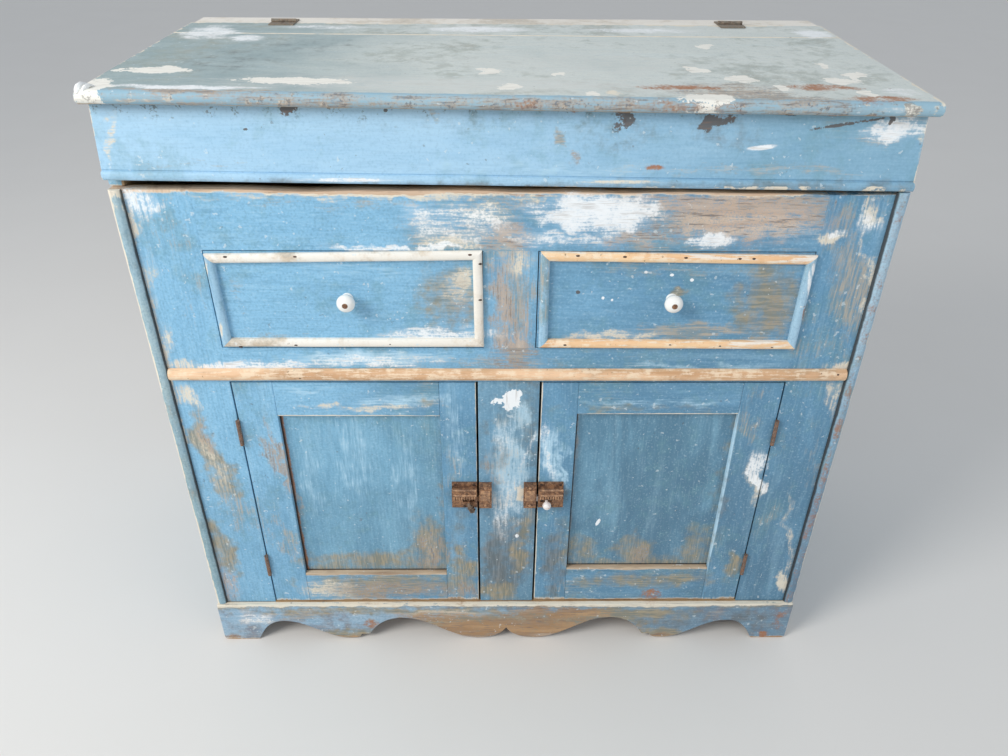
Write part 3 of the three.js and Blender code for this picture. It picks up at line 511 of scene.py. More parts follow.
LID_MARKS = [
    ("W", (300, 78.5, 64, 3.6, 1.5), (158, 69, 36, 3.6, 1.4), (92, 85, 20, 8, 1.6), (180, 85.5, 90, 2.2, 0.9),
     (486, 67.5, 12, 3.4, 1.4), (508, 82, 14, 3.4, 1.4), (697, 65, 11, 2.8, 1.5), (745, 73.5, 18, 3.8, 1.5),
     (842, 74, 20, 3.4, 1.4), (858, 70, 8, 4, 1.4), (710, 90, 28, 3.2, 1.4), (212, 32, 30, 8, 0.75),
     (246, 38, 24, 4, 0.8), (480, 29, 60, 3.4, 0.75), (813, 33, 18, 4, 0.8), (640, 30, 70, 2.6, 0.6),
     (330, 27, 60, 2.2, 0.5), (890, 98, 50, 4, 0.85), (905, 84, 18, 4, 0.7), (560, 70, 5, 2, 1.4),
     (785, 81, 9, 3, 1.35), (822, 61, 7, 2.6, 1.4), (872, 85, 10, 3, 1.4), (922, 97, 12, 3, 1.4),
     (590, 88, 9, 2.4, 1.35), (705, 44, 9, 2, 1.35)),
    ("C", (616, 87, 8, 3, 1.2)),
    ("B", (735, 84, 80, 9, 0.6), (800, 92, 60, 4, 0.62), (500, 92, 500, 2.4, 0.55), (200, 88.5, 110, 1.6, 0.8)),
    ("G", (230, 60, 60, 16, 0.35), (300, 45, 80, 12, 0.3)),
    # P: a painted sheen of light across the front of the lid.
    ("P", (470, 80, 330, 10, 0.62), (560, 60, 200, 14, 0.4)),
    ("R", (680, 81, 50, 2.6, 0.85), (820, 80, 44, 3, 0.8), (880, 90, 40, 3, 0.8), (520, 93, 60, 1.4, 0.36),
     (690, 93, 70, 1.4, 0.36)),
    ("T", (770, 90, 50, 3, 0.8)),
]
KINDS = {"W": 0xF8FAFA, "C": 0xE9DFCB, "D": 0x62605F, "R": 0xA8704A}
HAZES_AND_PAINTED_LIGHT = {"L": (0xBCDDEE, None), "T": (0x8A9698, 0xB5AA99), "G": (0x666E70, 0x7F8486), "O": (0x868474, 0xAA9A7C),
         "P": (0xDEDFDA, 0xCFD0CA)}
LAYERS = "LPTGOcCBbRWwD"                  # from the lowest; small letters are chipped sharply


def near(marks, node, place=on_front, y=0.0):
    """The marks that touch a piece of the front or the lid's top, as (centre, radii, kind, strength, turn)."""
    lo, hi = BOX[node]
    third, depth = (2, (y,)) if place is on_front else (1, ())
    found = []
    for kind, *spots in marks:
        for u, v, ru, rv, strength, *turn in spots:
            c = place(u, v, *depth)
            rx = (place(u + ru, v, *depth) - place(u - ru, v, *depth)).length / 2
            rz = (place(u, v + rv, *depth) - place(u, v - rv, *depth)).length / 2
            if all(lo[i] - MARK_REACH * r < c[i] < hi[i] + MARK_REACH * r for i, r in ((0, rx), (third, rz))):
                found.append((c, (rx, rz), kind, strength, math.radians(turn[0] if turn else 0)))
    return found


def wood(t, axis, light, dark, seed):
    """Bare pine: broad figure, fine dark lines along the grain and a grey bloom."""
    figure, fine = t.grain(axis, seed)
    color = t.mix(t.step(figure, 0.34, 0.68), light, dark)
    return t.over(color, 0x7A5A44, fine, 0.5, 0.7, 0.4), fine, figure


def painted(name, axis, light=SOFT_BLUE, deep=DEEP_BLUE, seed=0.0, fade=(-0.5, 0.5), marks=(), flat="y", wear=0.0,
            edges=(), tone=0x7FB4D6, patina=0x6F9AA2, patina_share=0.4, bare=(0xCDB69A, 0x9A7E64), flecks=0.45,
            rub=0.6, streak=0.6, contrast=1.0, grainy=0.7, turned=None, seams=(), low_share=0.46, inside=None):
    """Chalky old paint, worn through to a pale ground and to the wood, with some painted light and shade. fade is where
    it turns from light to deep across the front, edges come from edge(), and seams are (axis, place, half width), for
    dark seam lines and painted shadow lines. turned is (axis, place, softness, colour), for another colour before a
    place.
    inside is (axis, place, side), for a face never painted."""
    t = Tree(name)
    coarse, fine = t.grain(axis, seed)
    cloud = t.even(seed + 1, 5, 4, 0.6, 0.5)
    mottle = t.even(2, 38, 5, 0.65)
    speck = t.even(4, 260, 3, 0.6)
    woody, _, _ = wood(t, axis, *bare, seed)
    # blue paint: light to deep across the front, partly its own tone and partly painted shade away from the light on
    # the left;
    #     clouded, then streaks, patina and fine speckle
    across = t.add(t.swing(cloud, 1.3), t.step(t.axis(0), *fade) if fade else 0.3)
    if flat == "y":               # and deeper towards the floor
        across = t.add(across, t.step(t.axis(2), 0.15, 0.75, 0.0, low_share))
    color = t.over(light, deep, across, 0.0, 1.0)
    if flat == "y" and low_share:
        low = t.mul(t.step(t.axis(2), 0.2, 0.72, 0.0, 0.8), t.step(t.axis(0), -0.16, 0.3))
        color = t.mix(low, color, LOW_BLUE)
    smudge = t.noise(t.scaled(*(x * 0.35 + 4 for x in COARSE[axis]), seed + 3), 0.8, 6, 0.66, 0.6)
    for tint, *steps in ((tone, smudge, 0.42, 0.68, streak * 0.55),
                         (patina, t.add(mottle, t.swing(cloud, 1.2)), 0.46, 0.74, patina_share),
                         (0xB4D8E8, coarse, 0.5, 0.72, 0.16 * contrast),
                         (0x44708A, fine, 0.36, 0.54, 0.0, 0.18 * contrast),
                         (0xBFD9E4, fine, 0.54, 0.7, 0.14 * contrast),
                         (0x54809A, speck, 0.48, 0.7, 0.3 * contrast),
                         (0xC4DFEA, speck, 0.3, 0.46, 0.0, 0.22 * contrast)):
        color = t.over(color, tint, *steps)
    if turned:
        ax, at, soft, tint = turned
        color = t.over(color, tint, t.add(t.axis(ax), t.swing(mottle, soft * 3)), at - soft, at + soft, 0.0, 0.92)
    # three broken fields decide where a pressed place has lost its paint: chips, fine dry rubbing, and loose crumbs
    chips = t.sharper(t.blend(coarse, 0.3 * grainy + 0.12, fine, 0.34 * grainy, mottle, 0.88 - 0.64 * grainy), 4.2)
    dry = t.sharper(t.blend(fine, 0.36, speck, 0.22, coarse, 0.14, mottle, 0.28), 5.0)
    loose = t.sharper(t.blend(mottle, 0.6, speck, 0.4), 4.0)
    fields = {"c": chips, "b": chips, "w": loose, "D": loose, "R": loose}
    pressed = {}

    def press(kind, part):
        pressed[kind] = t.most(pressed[kind], part) if kind in pressed else part

    for centre, radii, kind, strength, turn in marks:
        press("w" if kind == "W" and strength > SOLID_CHALK else kind, t.ellipse(centre, radii, turn, flat, strength))
    if wear:
        press("T", t.mul(t.step(cloud, 0.42, 0.78), wear))
    for ax, at, side, width, kind, strength in edges:
        off = t.sub(t.axis(ax), at) if side > 0 else t.sub(at, t.axis(ax))
        kind = kind.lower() if kind == "C" or kind == "B" and width < NARROW else kind
        press(kind, t.step(t.add(off, t.swing(cloud, width * 1.6)), 0.0, width, 0.0, strength))
    gone = None
    for kind in (k for k in LAYERS if k in pressed):
        here = pressed[kind]
        # Hazes also carry painted light: P is a painted sheen, LIT_EDGE a painted highlight, G beside the latches
        # painted shade.
        if kind in HAZES_AND_PAINTED_LIGHT:         # a rubbed haze, and the painted light named above
            broken = t.swing(mottle, 2.0) if kind in "OG" else t.swing(dry, 0.75)
            haze_and_light_mask = t.mul(t.step(t.add(here, broken), 0.12, 1.1, 0.88), t.step(here, 0.0, 0.3))
            one, other = HAZES_AND_PAINTED_LIGHT[kind]
            color = t.mix(haze_and_light_mask, color, t.over(one, other, fine, 0.42, 0.6) if other else one)
            continue
        lack = t.sub(fields.get(kind, dry), t.sub(1.0, here))
        inner = t.step(here, 0.05, 0.4)
        mask = t.mul(t.step(lack, -0.08, 0.14) if kind in "wcbD" else t.add(
            t.step(lack, -0.2, 0.2, 0.4), t.step(lack, -0.7, 0.6, 0.6)), inner)
        if kind == "b":           # the pale ground shows round the bare wood
            color = t.mix(t.mul(t.step(lack, -0.45, 0.0, 0.6), inner), color, KINDS["C"])
            color = t.mix(t.mul(mask, 0.92), color, woody)
        elif kind == "B":         # rubbed wood: old blue and dirt stay in its pores
            rubbed = woody
            for tint, *steps in ((0xA09E9A, t.blend(mottle, 0.5, fine, 0.5), 0.46, 0.6, rub),
                                 (0x6A625E, fine, 0.54, 0.66, 0.65), (0x6E93AC, speck, 0.52, 0.64, rub),
                                 (0xE2D2C0, coarse, 0.52, 0.7, 0.5)):
                rubbed = t.over(rubbed, tint, *steps)
            color = t.mix(t.mul(mask, 0.95), color, rubbed)
        else:
            pure = 0xF5F1E6 if kind == "w" and flat == "z" else KINDS[kind.upper()]
            chalk = t.over(pure, 0x8A6A55 if kind == "D" else 0xA99F95, fine, 0.5, 0.72, 0.5)
            color = t.mix(t.mul(mask, 0.94), color, chalk)
        gone = mask if gone is None else t.most(gone, mask)
    # stray specks of the pale ground and of dirt
    spots = t.add(t.even(seed + 7, 120, 2, 0.5), t.swing(cloud, 0.25))
    color = t.over(color, 0xDDE5E6, spots, 0.70, 0.72, flecks)
    color = t.over(color, 0x5E4B40, t.even(seed + 9, 85, 3, 0.55), 0.71, 0.74, flecks * 0.8)
    # dark seam lines, and on the door panels painted shadow lines along their recess
    color = t.seam_and_shadow_lines(color, seams, mottle, 0x2B2826, 1.2, 0.4, 0.92)
    if inside:
        ax, at, side = inside
        place = t.axis(ax)
        if flat == "z":           # the lid hangs lower towards its front right, as lid_drop says
            share = t.mul(t.sub(HINGE_Y, t.axis(1)), 1 / (HINGE_Y - LID_FRONT))
            more = t.mul(t.add(t.axis(0), HALF), DROP_MORE / (2 * HALF))
            place = t.add(place, t.mul(share, t.add(DROP_LEFT, more)))
        raw = t.over(t.over(0xC4A47C, 0xA07E58, coarse, 0.36, 0.66), 0x93775A, cloud, 0.4, 0.7, 0.5)
        past = t.add(t.mul(t.sub(place, at), side), t.swing(mottle, 0.003))
        color = t.over(color, raw, past, -0.0006, 0.0006)
    height = t.blend(coarse, 0.3, fine, 0.25, mottle, 0.3)
    if gone is not None and len(marks) < MANY_MARKS:
        height = t.sub(height, t.mul(gone, 0.45))
    return t.finish(color, t.add(0.45, t.mul(mottle, 0.3)), height, 0.45, 0.0011, 0.35)


def bare_wood(name, axis, light, dark, seed, dirt=0.3, fleck=None, pale=None, fleck_share=0.6, seams=()):
    """Unpainted or nearly unpainted pine, with grime, chalky remains and flecks of old colour."""
    t = Tree(name)
    color, fine, figure = wood(t, axis, light, dark, seed)
    grime = t.even(seed + 5, 9, 5, 0.62)
    mottle = t.even(2, 60, 5, 0.65)
    color = t.over(color, 0x5A4436, t.add(grime, t.swing(mottle, 0.6)), 0.48, 0.74, dirt)
    if pale:
        color = t.over(color, pale, t.blend(fine, 0.5, mottle, 0.5), 0.47, 0.58, 0.8)
    if fleck:
        color = t.over(color, fleck, t.blend(figure, 0.5, fine, 0.25, grime, 0.25), 0.52, 0.57, fleck_share)
    color = t.over(color, 0x4A3830, t.even(seed + 8, 210, 3, 0.6), 0.66, 0.74, 0.6)
    color = t.seam_and_shadow_lines(color, seams, mottle, 0x2A1F18, 1.0, 0.5, 0.9)
    height = t.blend(fine, 0.5, figure, 0.3, mottle, 0.3)
    return t.finish(color, t.add(0.56, t.mul(mottle, 0.24)), height, 0.4, 0.0011, 0.3)


def rusty(name, base, rust, pale, seed, dark=0x4C382F):
    """Old iron: two browns in patches, pale crumbs and dark pits."""
    t = Tree(name)
    patches = t.even(seed, 150, 6, 0.65)
    crumbs = t.even(seed + 3, 520, 5, 0.6)
    color = t.over(t.over(base, rust, patches, 0.42, 0.6), pale, crumbs, 0.56, 0.7, 0.65)
    color = t.over(color, dark, t.even(seed + 5, 95, 4, 0.6), 0.54, 0.68, 0.65)
    return t.finish(color, t.add(0.45, t.mul(patches, 0.4)), t.add(patches, crumbs), 0.5, 0.0006, 0.4, 0.2)


def glazed(name, white, craze_tint, stain_tint):
    """Glazed porcelain with faint crazing and stains."""
    t = Tree(name)
    craze = t.even(2, 260, 6, 0.7)
    stain = t.even(5, 120, 3, 0.5)
    color = t.over(t.over(white, craze_tint, craze, 0.6, 0.8, 0.3), stain_tint, stain, 0.6, 0.8, 0.2)
    return t.finish(color, t.add(0.12, t.mul(stain, 0.12)), craze, 0.04, 0.0003, 0.5, 0.0, 0.5)


def edge(node, which, width, kind, strength, place=None):
    """A band of wear along one edge of a board, or along another place, as (axis, place, side, width, kind, strength);
    one band on the front skirt is painted shade under the lid's nose.
    """
    lo, hi = BOX[node]
    ax, side = {"left": (0, 1), "right": (0, -1), "bottom": (2, 1), "top": (2, -1), "front": (1, 1),
                "back": (1, -1)}[which]
    return ax, (lo if side > 0 else hi)[ax] if place is None else place, side, width, kind, strength


M = {}


def paint(node, name, axis, light, deep, seed, edges=(), **look):
    M[node] = painted(name, axis, light, deep, seed, edges=[edge(node, *e) for e in edges], **look)


def front_paint(node, axis, seed=0.0, light=SOFT_BLUE, deep=DEEP_BLUE, edges=(), **look):
    """Paint for a piece of the front, with the photograph's marks and a face behind that was never painted."""
    lo, hi = BOX[node]
    look.setdefault("inside", (1, lo.y + (hi.y - lo.y) * 0.8, 1))
    look.setdefault("marks", near(FRONT_MARKS, node))
    if node.startswith("door"):
        look.setdefault("fade", (-0.5, 0.1))
    paint(node, node + "_paint", axis, light, deep, seed, edges, **look)


RIM_WOOD = (0xEBCFB2, 0xC09E82)
STRIP_WOOD = (0xD9AE85, 0xA87A56)
front_paint("top_rail", "x", wear=0.25, rub=0.42, bare=RIM_WOOD,
            edges=(("top", 0.009, "B", 1.3), ("top", 0.016, "C", 0.7)))
front_paint("middle_rail", "x", wear=0.35)
front_paint("centre_stile_upper", "z", wear=0.5, bare=RIM_WOOD)
front_paint("centre_stile_lower", "z", light=0x82AEC8, deep=0x64899F, wear=0.5, patina=0x6C726E, patina_share=0.6,
            low_share=0.2)
front_paint("apron", "x", 8, 0x9DB6C8, 0x748A9A, rub=0.12, bare=(0xC29A6E, 0x8E6844), wear=0.6, patina=0x7F7478,
            patina_share=0.65, low_share=0.0,
            edges=(("top", 0.010, "C", 0.95), ("top", 0.02, "O", 0.8), ("bottom", 0.007, "B", 1.0)))
panel_low, panel_high = BOX["door_right_bottom_rail"][1].z, BOX["door_right_top_rail"][0].z
LIT_EDGE = ((BOX["door_right_hinge_stile"][0].x, 0, (panel_low + panel_high) / 2),
            (0.004, (panel_high - panel_low) / 1.7), "L", 1.8, 0)       # a painted highlight: the lit, pale edge of the stile beside the panel
pine_y = bare_wood("inside_pine_y", "y", 0xD0B088, 0xB08C66, 13, dirt=0.25)
for k, (s, sign) in enumerate(SIDES):
    front_paint(f"end_stile_{s}", "z", wear=0.45, bare=RIM_WOOD, edges=(("top", 0.009, "B", 1.2), (s, 0.030, "C", 0.5)))
    paint(f"side_board_{s}", f"side_{s}_paint", "z", SOFT_BLUE, DEEP_BLUE, 11, fade=None, wear=0.5,
          edges=(("front", 0.006, "C", 0.6), ("bottom", 0.06, "B", 0.55), ("bottom", 0.16, "G", 0.4)),
          inside=(0, BOX[f"side_board_{s}"][1 - k].x * 1.003, -sign))
    door = f"door_{s}_"
    front_paint(door + "hinge_stile", "z", 1, wear=0.35, edges=(("bottom", 0.01, "B", 0.6),),
                marks=near(FRONT_MARKS, door + "hinge_stile") + [LIT_EDGE] * k)
    front_paint(door + "latch_stile", "z", 2, wear=0.35,
                edges=((SIDES[1 - k][0], 0.0025, "C", 0.9), ("bottom", 0.012, "B", 0.7)))
    front_paint(door + "top_rail", "x", 3, wear=0.35, edges=(("bottom", 0.0035, "C", 1.1),))
    front_paint(door + "bottom_rail", "x", 4, wear=0.5, edges=(("top", 0.007, "B", 1.5), ("bottom", 0.008, "B", 0.6)))
    panel_edges = [("bottom", 0.05, "O", 0.8), ("left", 0.02, "B", 0.7), ("right", 0.03, "O", 0.5),
                   ("top", 0.03, "G", 0.5)]
    if s == "left":
        panel_edges.append(("left", 0.0075, "R", 1.7, BOX["door_left_hinge_stile"][1].x))
    # painted shadow lines where the panel meets its top rail, its bottom rail and its left stile
    shadows = ((2, BOX[door + "top_rail"][0].z, 0.0025), (2, BOX[door + "bottom_rail"][1].z, 0.0018),
               (0, BOX[door + ("hinge", "latch")[k] + "_stile"][1].x, 0.003))
    front_paint(door + "panel", "z", 5 + k, 0x80B3CF, 0x5A839A, panel_edges, fade=(-0.5, 0.5), wear=0.3, streak=0.7,
                marks=near(FRONT_MARKS, door + "panel", y=0.01), tone=0x8FC0D8, grainy=0.4, seams=shadows)
    front_paint(f"drawer_{s}_front", "x", 7, wear=0.2)
    paint(f"lid_skirt_{s}", f"skirt_{s}_paint", "y", 0xA4D4F0, 0x84B0CA, 19, (("bottom", 0.004, "C", 1.0),), fade=None,
          wear=0.35, inside=(0, (HALF - 0.0155) * sign, -sign))
    M[f"drawer_{s}_box"] = M[f"drawer_{s}_bottom"] = pine_y
paint("corner_moulding_left", "corner_left_paint", "z", 0xA9BEC2, 0x8AA6AE, 9, (
    ("left", 0.007, "C", 1.2), ("top", 0.05, "C", 0.5)), fade=None, wear=0.7, patina=0x7A8078,
      seams=[(0, BOX["corner_moulding_left"][1].x, 0.0022)])
paint("corner_moulding_right", "corner_right_paint", "z", 0xA9C6D6, 0x84A8C0, 10, (
    ("right", 0.005, "C", 0.6), ("front", 0.004, "R", 0.3)), fade=None, wear=0.8, patina_share=0.7,
      seams=[(0, BOX["corner_moulding_right"][0].x, 0.003)])
M["waist_moulding"] = bare_wood("waist_wood", "x", 0xEFC8A2, 0xC69A72, 8, dirt=0.35, pale=0xF5DEC0)
M["back_panel"] = bare_wood("back_pine", "z", 0xB49878, 0x86684C, 14, dirt=0.45, seams=[
    (0, x, 0.0016) for x in (-0.345, -0.11, 0.13, 0.36)])
M["cupboard_floor"] = M["drawer_deck"] = M["well_floor"] = bare_wood("inside_pine", "x", 0xC8A87E, 0xA88460, 12)
# The lid's pale colour, towards its middle and right, is its grey-green paint lightened as a painted sheen on the top.
lid_look = dict(flat="z", wear=0.5, tone=0xC6CFCA, patina=0x98A094, patina_share=0.5, fade=(-0.62, 0.05), contrast=0.5,
                grainy=0.45, inside=(2, LID_UNDER + 0.0013, -1))
LID_ENDS = (("left", 0.012, "C", 0.62), ("right", 0.010, "C", 0.7))
paint("lid_board_front", "lid_front_paint", "x", 0x97A8A8, 0xD6DAD3, 15, (
    ("front", 0.014, "C", 0.3), ("front", 0.02, "D", 0.24), *LID_ENDS, ("back", 0.006, "C", 0.9)),
      marks=near(LID_MARKS, "lid_board_front", on_top), turned=(1, LID_FRONT + 0.012, 0.003, 0x90B6C8), **lid_look)
paint("lid_board_rear", "lid_rear_paint", "x", 0x97A8A8, 0xD8DBD4, 16, (
    ("front", 0.006, "C", 1.0), ("back", 0.02, "C", 0.7), *LID_ENDS), marks=near(LID_MARKS, "lid_board_rear", on_top),
      **lid_look)
paint("rear_strip", "strip_paint", "x", 0xEFE8DC, 0xE0D6C6, 17, flat="z", fade=None, wear=0.4, tone=0xF4EFE6,
      patina=0xC3B49E, patina_share=0.5, contrast=0.2, flecks=0.4)
# The skirt's dark band just under the lid's nose (the top edge of kind D) is painted shade under the overhang.
paint("lid_skirt_front", "skirt_paint", "x", 0xABD0E8, 0x86B0C8, 18, (
    ("bottom", 0.004, "C", 0.45), ("bottom", 0.016, "G", 0.55), ("top", 0.03, "D", 0.27, LID_UNDER - 0.004),
    ("left", 0.003, "C", 0.6), ("right", 0.003, "C", 0.6)), fade=(-0.2, 0.52), wear=0.3, contrast=0.5, streak=0.4,
      marks=near(SKIRT_MARKS, "lid_skirt_front"), patina_share=0.3, grainy=0.3, low_share=0.0,
      inside=(1, BOX["lid_skirt_front"][1].y - 0.003, 1))
cream_strip = painted("cream_strip", "x", 0xF3EDE2, 0xE6DCCB, 40, wear=0.8, tone=0xFAF7F0, patina=0xD2B999,
                      contrast=0.15, bare=STRIP_WOOD, flecks=0.7, patina_share=0.7)
chalk_white = painted("chalk_white", "y", 0xF4F5F3, 0xECEAE4, 43, fade=None, wear=0.3, tone=0xFAFAF8,
                      patina=0xD8CCBC, contrast=0.1, bare=STRIP_WOOD, flecks=0.5)
# The two cream marks on the left frame's blue strip, at u 207 and 222, are a painted highlight on its lit outer edge.
strip_marks = ((808, 285, 0.03, "W", -12), (803, 315, 0.022, "R", -12), (812, 268, 0.012, "W", -12),
               (207, 268, 0.02, "C", 12), (222, 330, 0.02, "C", 12))
blue_strip = painted("blue_strip", "z", 0xA6C8DC, 0x90B4CA, 41, wear=0.9, fade=None, contrast=0.8, flecks=0.8,
                     patina_share=0.6, marks=[(on_front(u, v), (0.004, half), kind, 0.9, math.radians(turn))
                                              for u, v, half, kind, turn in strip_marks])
tan_strip = bare_wood("tan_strip", "x", 0xFCD8AC, 0xE6B486, 42, dirt=0.16, pale=0xFCE8CC, fleck=0xF0EAE0,
                      fleck_share=0.75)
iron = rusty("rusty_iron", 0x6A4C3B, 0x9F7656, 0xC2A68A, 0, 0x2E221B)
# Lighter iron for the raised ribs and keeper panels: rubbed iron, and a painted highlight on the raised parts.
worn_highlit_iron = rusty("rusty_iron_worn_highlit", 0x927058, 0xBE9470, 0xDEC6A8, 4, 0x523E30)
lever_iron = rusty("lever_iron", 0x64564A, 0x85705E, 0xA89C90, 7, 0x382E28)
hinge_iron = rusty("hinge_iron", 0x6E5B4E, 0x8E6A54, 0x9FB4BE, 2)
lid_iron = rusty("lid_hinge_iron", 0x7C7468, 0x8C7A68, 0xB8B2A4, 6)
white_iron = rusty("white_iron", 0xF0ECE8, 0xE6D8D0, 0xF8F6F2, 3, 0xB88878)
nail_iron = rusty("nail_iron", 0x3A2E28, 0x5A4034, 0x7A6A5C, 9, 0x201814)
porcelain = glazed("porcelain", 0xF4F3EE, 0xBFB6A4, 0xD9CDB4)

# ---------------------------------------------------------------- dressing the CAD's own pieces
MERGE, FLAT, SHARP = 2e-5, math.radians(0.8), math.radians(38)
RIM_TOP = 0.02                            # how far down the wear of the rim reaches
SOFT, FINE_SOFT, SEAMLESS = 0.0012, 0.0005, 0.0003      # how far the edges are rounded


def worked(node, mat, axis="x", every=0.03, bevel=SOFT, amount=0.0003, warp=None):
    """The CAD solid cut up finely, its edges softened, then made slightly uneven and, on request, warped."""
    bm = bmesh.new()
    bm.from_mesh(frame["nodes"][node].data)
    bmesh.ops.remove_doubles(bm, verts=bm.verts, dist=MERGE)
    bmesh.ops.dissolve_limit(bm, angle_limit=FLAT, verts=bm.verts, edges=bm.edges)
    sharp = [e for e in bm.edges if len(e.link_faces) == 2 and e.calc_face_angle(0.0) > SHARP]
    bmesh.ops.bevel(bm, geom=sharp, offset=bevel, segments=2, profile=0.5, affect="EDGES", clamp_overlap=True)
    lo, hi = BOX[node]
    i = "xyz".index(axis)
    count = round((hi[i] - lo[i]) / every)
    for s in range(1, count):
        at, normal = Vector(), Vector()
        at[i], normal[i] = lo[i] + (hi[i] - lo[i]) * s / count, 1.0
        bmesh.ops.bisect_plane(bm, geom=bm.verts[:] + bm.edges[:] + bm.faces[:], dist=TINY, plane_co=at,
                               plane_no=normal)
    for v in bm.verts:
        p = v.co + wander(v.co, amount, 9) + wander(v.co, amount * 0.5, 55)
        v.co = warp(p) if warp else p
    settle(node + "_aged", bm, BODY[node], mat, SLOT[node], [node])


def dress(node, mat, bevel=SOFT):
    """A CAD piece shown as it is, with softened edges and its own finish."""
    o = frame["nodes"][node]
    o.data.materials.clear()
    o.data.materials.append(mat)
    b = o.modifiers.new("softened", "BEVEL")
    b.width, b.segments, b.limit_method, b.angle_limit = bevel, 2, "ANGLE", math.radians(40)
    b.harden_normals = True
    for f in o.data.polygons:
        f.use_smooth = True
    o.data.set_sharp_from_angle(angle=math.radians(35))


def rim_warp(p):
    """The rim has worn lower towards the right."""
    share = unit((p.x + HALF) / (2 * HALF))
    near_top = unit((p.z - RIM + RIM_TOP) / RIM_TOP)
    wave = 0.0012 * math.sin(p.x * 17) + 0.0008 * math.sin(p.x * 41 + 1)
    return p - Vector((0, 0, near_top * (0.0012 + 0.004 * share * share + max(-0.001, wave))))


# node, long axis, rounding, unevenness, warp
for node, *how in (
        ("lid_board_front", "x", 0.0016, 0.0003, lid_warp), ("lid_board_rear", "x", SOFT, 0.0003, lid_warp),
        ("lid_skirt_front", "x", SOFT, 0.0003, skirt_warp), ("lid_skirt_left", "y", SOFT, 0.0003, side_skirt_warp),
        ("lid_skirt_right", "y", SOFT, 0.0003, side_skirt_warp), ("rear_strip",),
        ("top_rail", "x", SEAMLESS, 0.0001, rim_warp), ("middle_rail", "x", SEAMLESS, 0.0001),
        ("end_stile_left", "z", SEAMLESS, 0.0001, rim_warp), ("end_stile_right", "z", SEAMLESS, 0.0001, rim_warp),
        ("centre_stile_upper", "z", SEAMLESS, 0.0001), ("centre_stile_lower", "z"),
        ("waist_moulding", "x", SOFT, 0.0006), ("corner_moulding_left", "z"), ("corner_moulding_right", "z"),
        ("apron", "x", 0.0025, 0.0005)):
    axis, bevel, amount, warp = how + ["x", SOFT, 0.0003, None][len(how):]
    worked(node, M[node], axis, 0.03, bevel, amount, warp)
for s, _ in SIDES:
    for part, axis in (("hinge_stile", "z"), ("latch_stile", "z"), ("top_rail", "x"), ("bottom_rail", "x")):
        worked(f"door_{s}_{part}", M[f"door_{s}_{part}"], axis, 0.04, SOFT, 0.0002)
    dress(f"door_{s}_panel", M[f"door_{s}_panel"], 0.0006)
    dress(f"drawer_{s}_front", M[f"drawer_{s}_front"], 0.0008)
for node in ("side_board_left", "side_board_right", "back_panel", "cupboard_floor", "drawer_deck", "well_floor",
             "drawer_left_box", "drawer_left_bottom", "drawer_right_box", "drawer_right_bottom"):
    dress(node, M[node])
for node in sorted(frame["nodes"]):
    if "lid_hinge" in node:
        dress(node, lid_iron, FINE_SOFT)
    elif "leaf" in node:
        dress(node, hinge_iron, 0.0004)
    elif "latch" in node and "stile" not in node:
        dress(node, white_iron if node == "latch_bolt_right" else iron, FINE_SOFT)

# ---------------------------------------------------------------- fuller pieces in the place of CAD nodes
# planted mouldings round the drawer fronts, set a little askew as in the photograph
FRAME_PX = {"left": ((203, 254.5), (482, 251), (484, 345.5), (224, 346)),
            "right": ((541, 252), (819, 258), (795, 349), (539, 347.5))}
STRIPS = {"left": (cream_strip, cream_strip, cream_strip, blue_strip),
          "right": (tan_strip, blue_strip, tan_strip, blue_strip)}
ASKEW = 0.003                             # how far a corner may stand from its true place
STRIP_WIDE, SINK, CLEAR = 0.014, 0.0008, 0.0007         # sink is behind the drawer front, clear before the face frame


def lean(amount):
    return max(-ASKEW, min(ASKEW, amount))


for s, _ in SIDES:
    node = f"drawer_{s}_moulding"
    lo, hi = BOX[node]
    corners = [on_front(u, v, -0.004) for u, v in FRAME_PX[s]]
    true = [Vector((x, 0, z)) for x, z in ((lo.x, hi.z), (hi.x, hi.z), (hi.x, lo.z), (lo.x, lo.z))]
    shift = [Vector((lean(c.x - q.x), 0, lean(c.z - q.z))) for c, q in zip(corners, true)]
    proud = FRONT - lo.y
    section = [(0.0, CLEAR), (0.0, proud * 0.55)] + [
        (STRIP_WIDE * 0.5 - STRIP_WIDE * 0.47 * math.cos(math.radians(a)),
         proud * (0.55 + 0.45 * math.sin(math.radians(a)))) for a in range(20, 161, 14)] + [
        (STRIP_WIDE, proud * 0.55), (STRIP_WIDE, -SINK)]
    mid = (lo + hi) / 2
    bm = bmesh.new()
    for side in range(4):
        a, b = true[side], true[(side + 1) % 4]
        along = (b - a).normalized()
        inward = Vector((mid.x, 0, mid.z)) - (a + b) / 2
        inward = (inward - along * inward.dot(along)).normalized()
        length, rings = (b - a).length, []
        count = max(4, round(length / 0.02))
        for k in range(count + 1):
            ring = []
            for across, out in section:
                run = across + (length - 2 * across) * k / count
                f = run / length
                p = a + along * run + inward * across + shift[side] * (1 - f) + shift[(side + 1) % 4] * f
                p = Vector((p.x, FRONT - out, p.z))
                ring.append(p + (wander(p, 0.0003, 14, side) + wander(p, 0.0002, 80, side)) * (out > CLEAR))
            rings.append(ring)
        loft(bm, rings, side)
    settle(f"drawer_{s}_moulding_aged", bm, f"drawer_{s}", STRIPS[s], SLOT[node], [node])

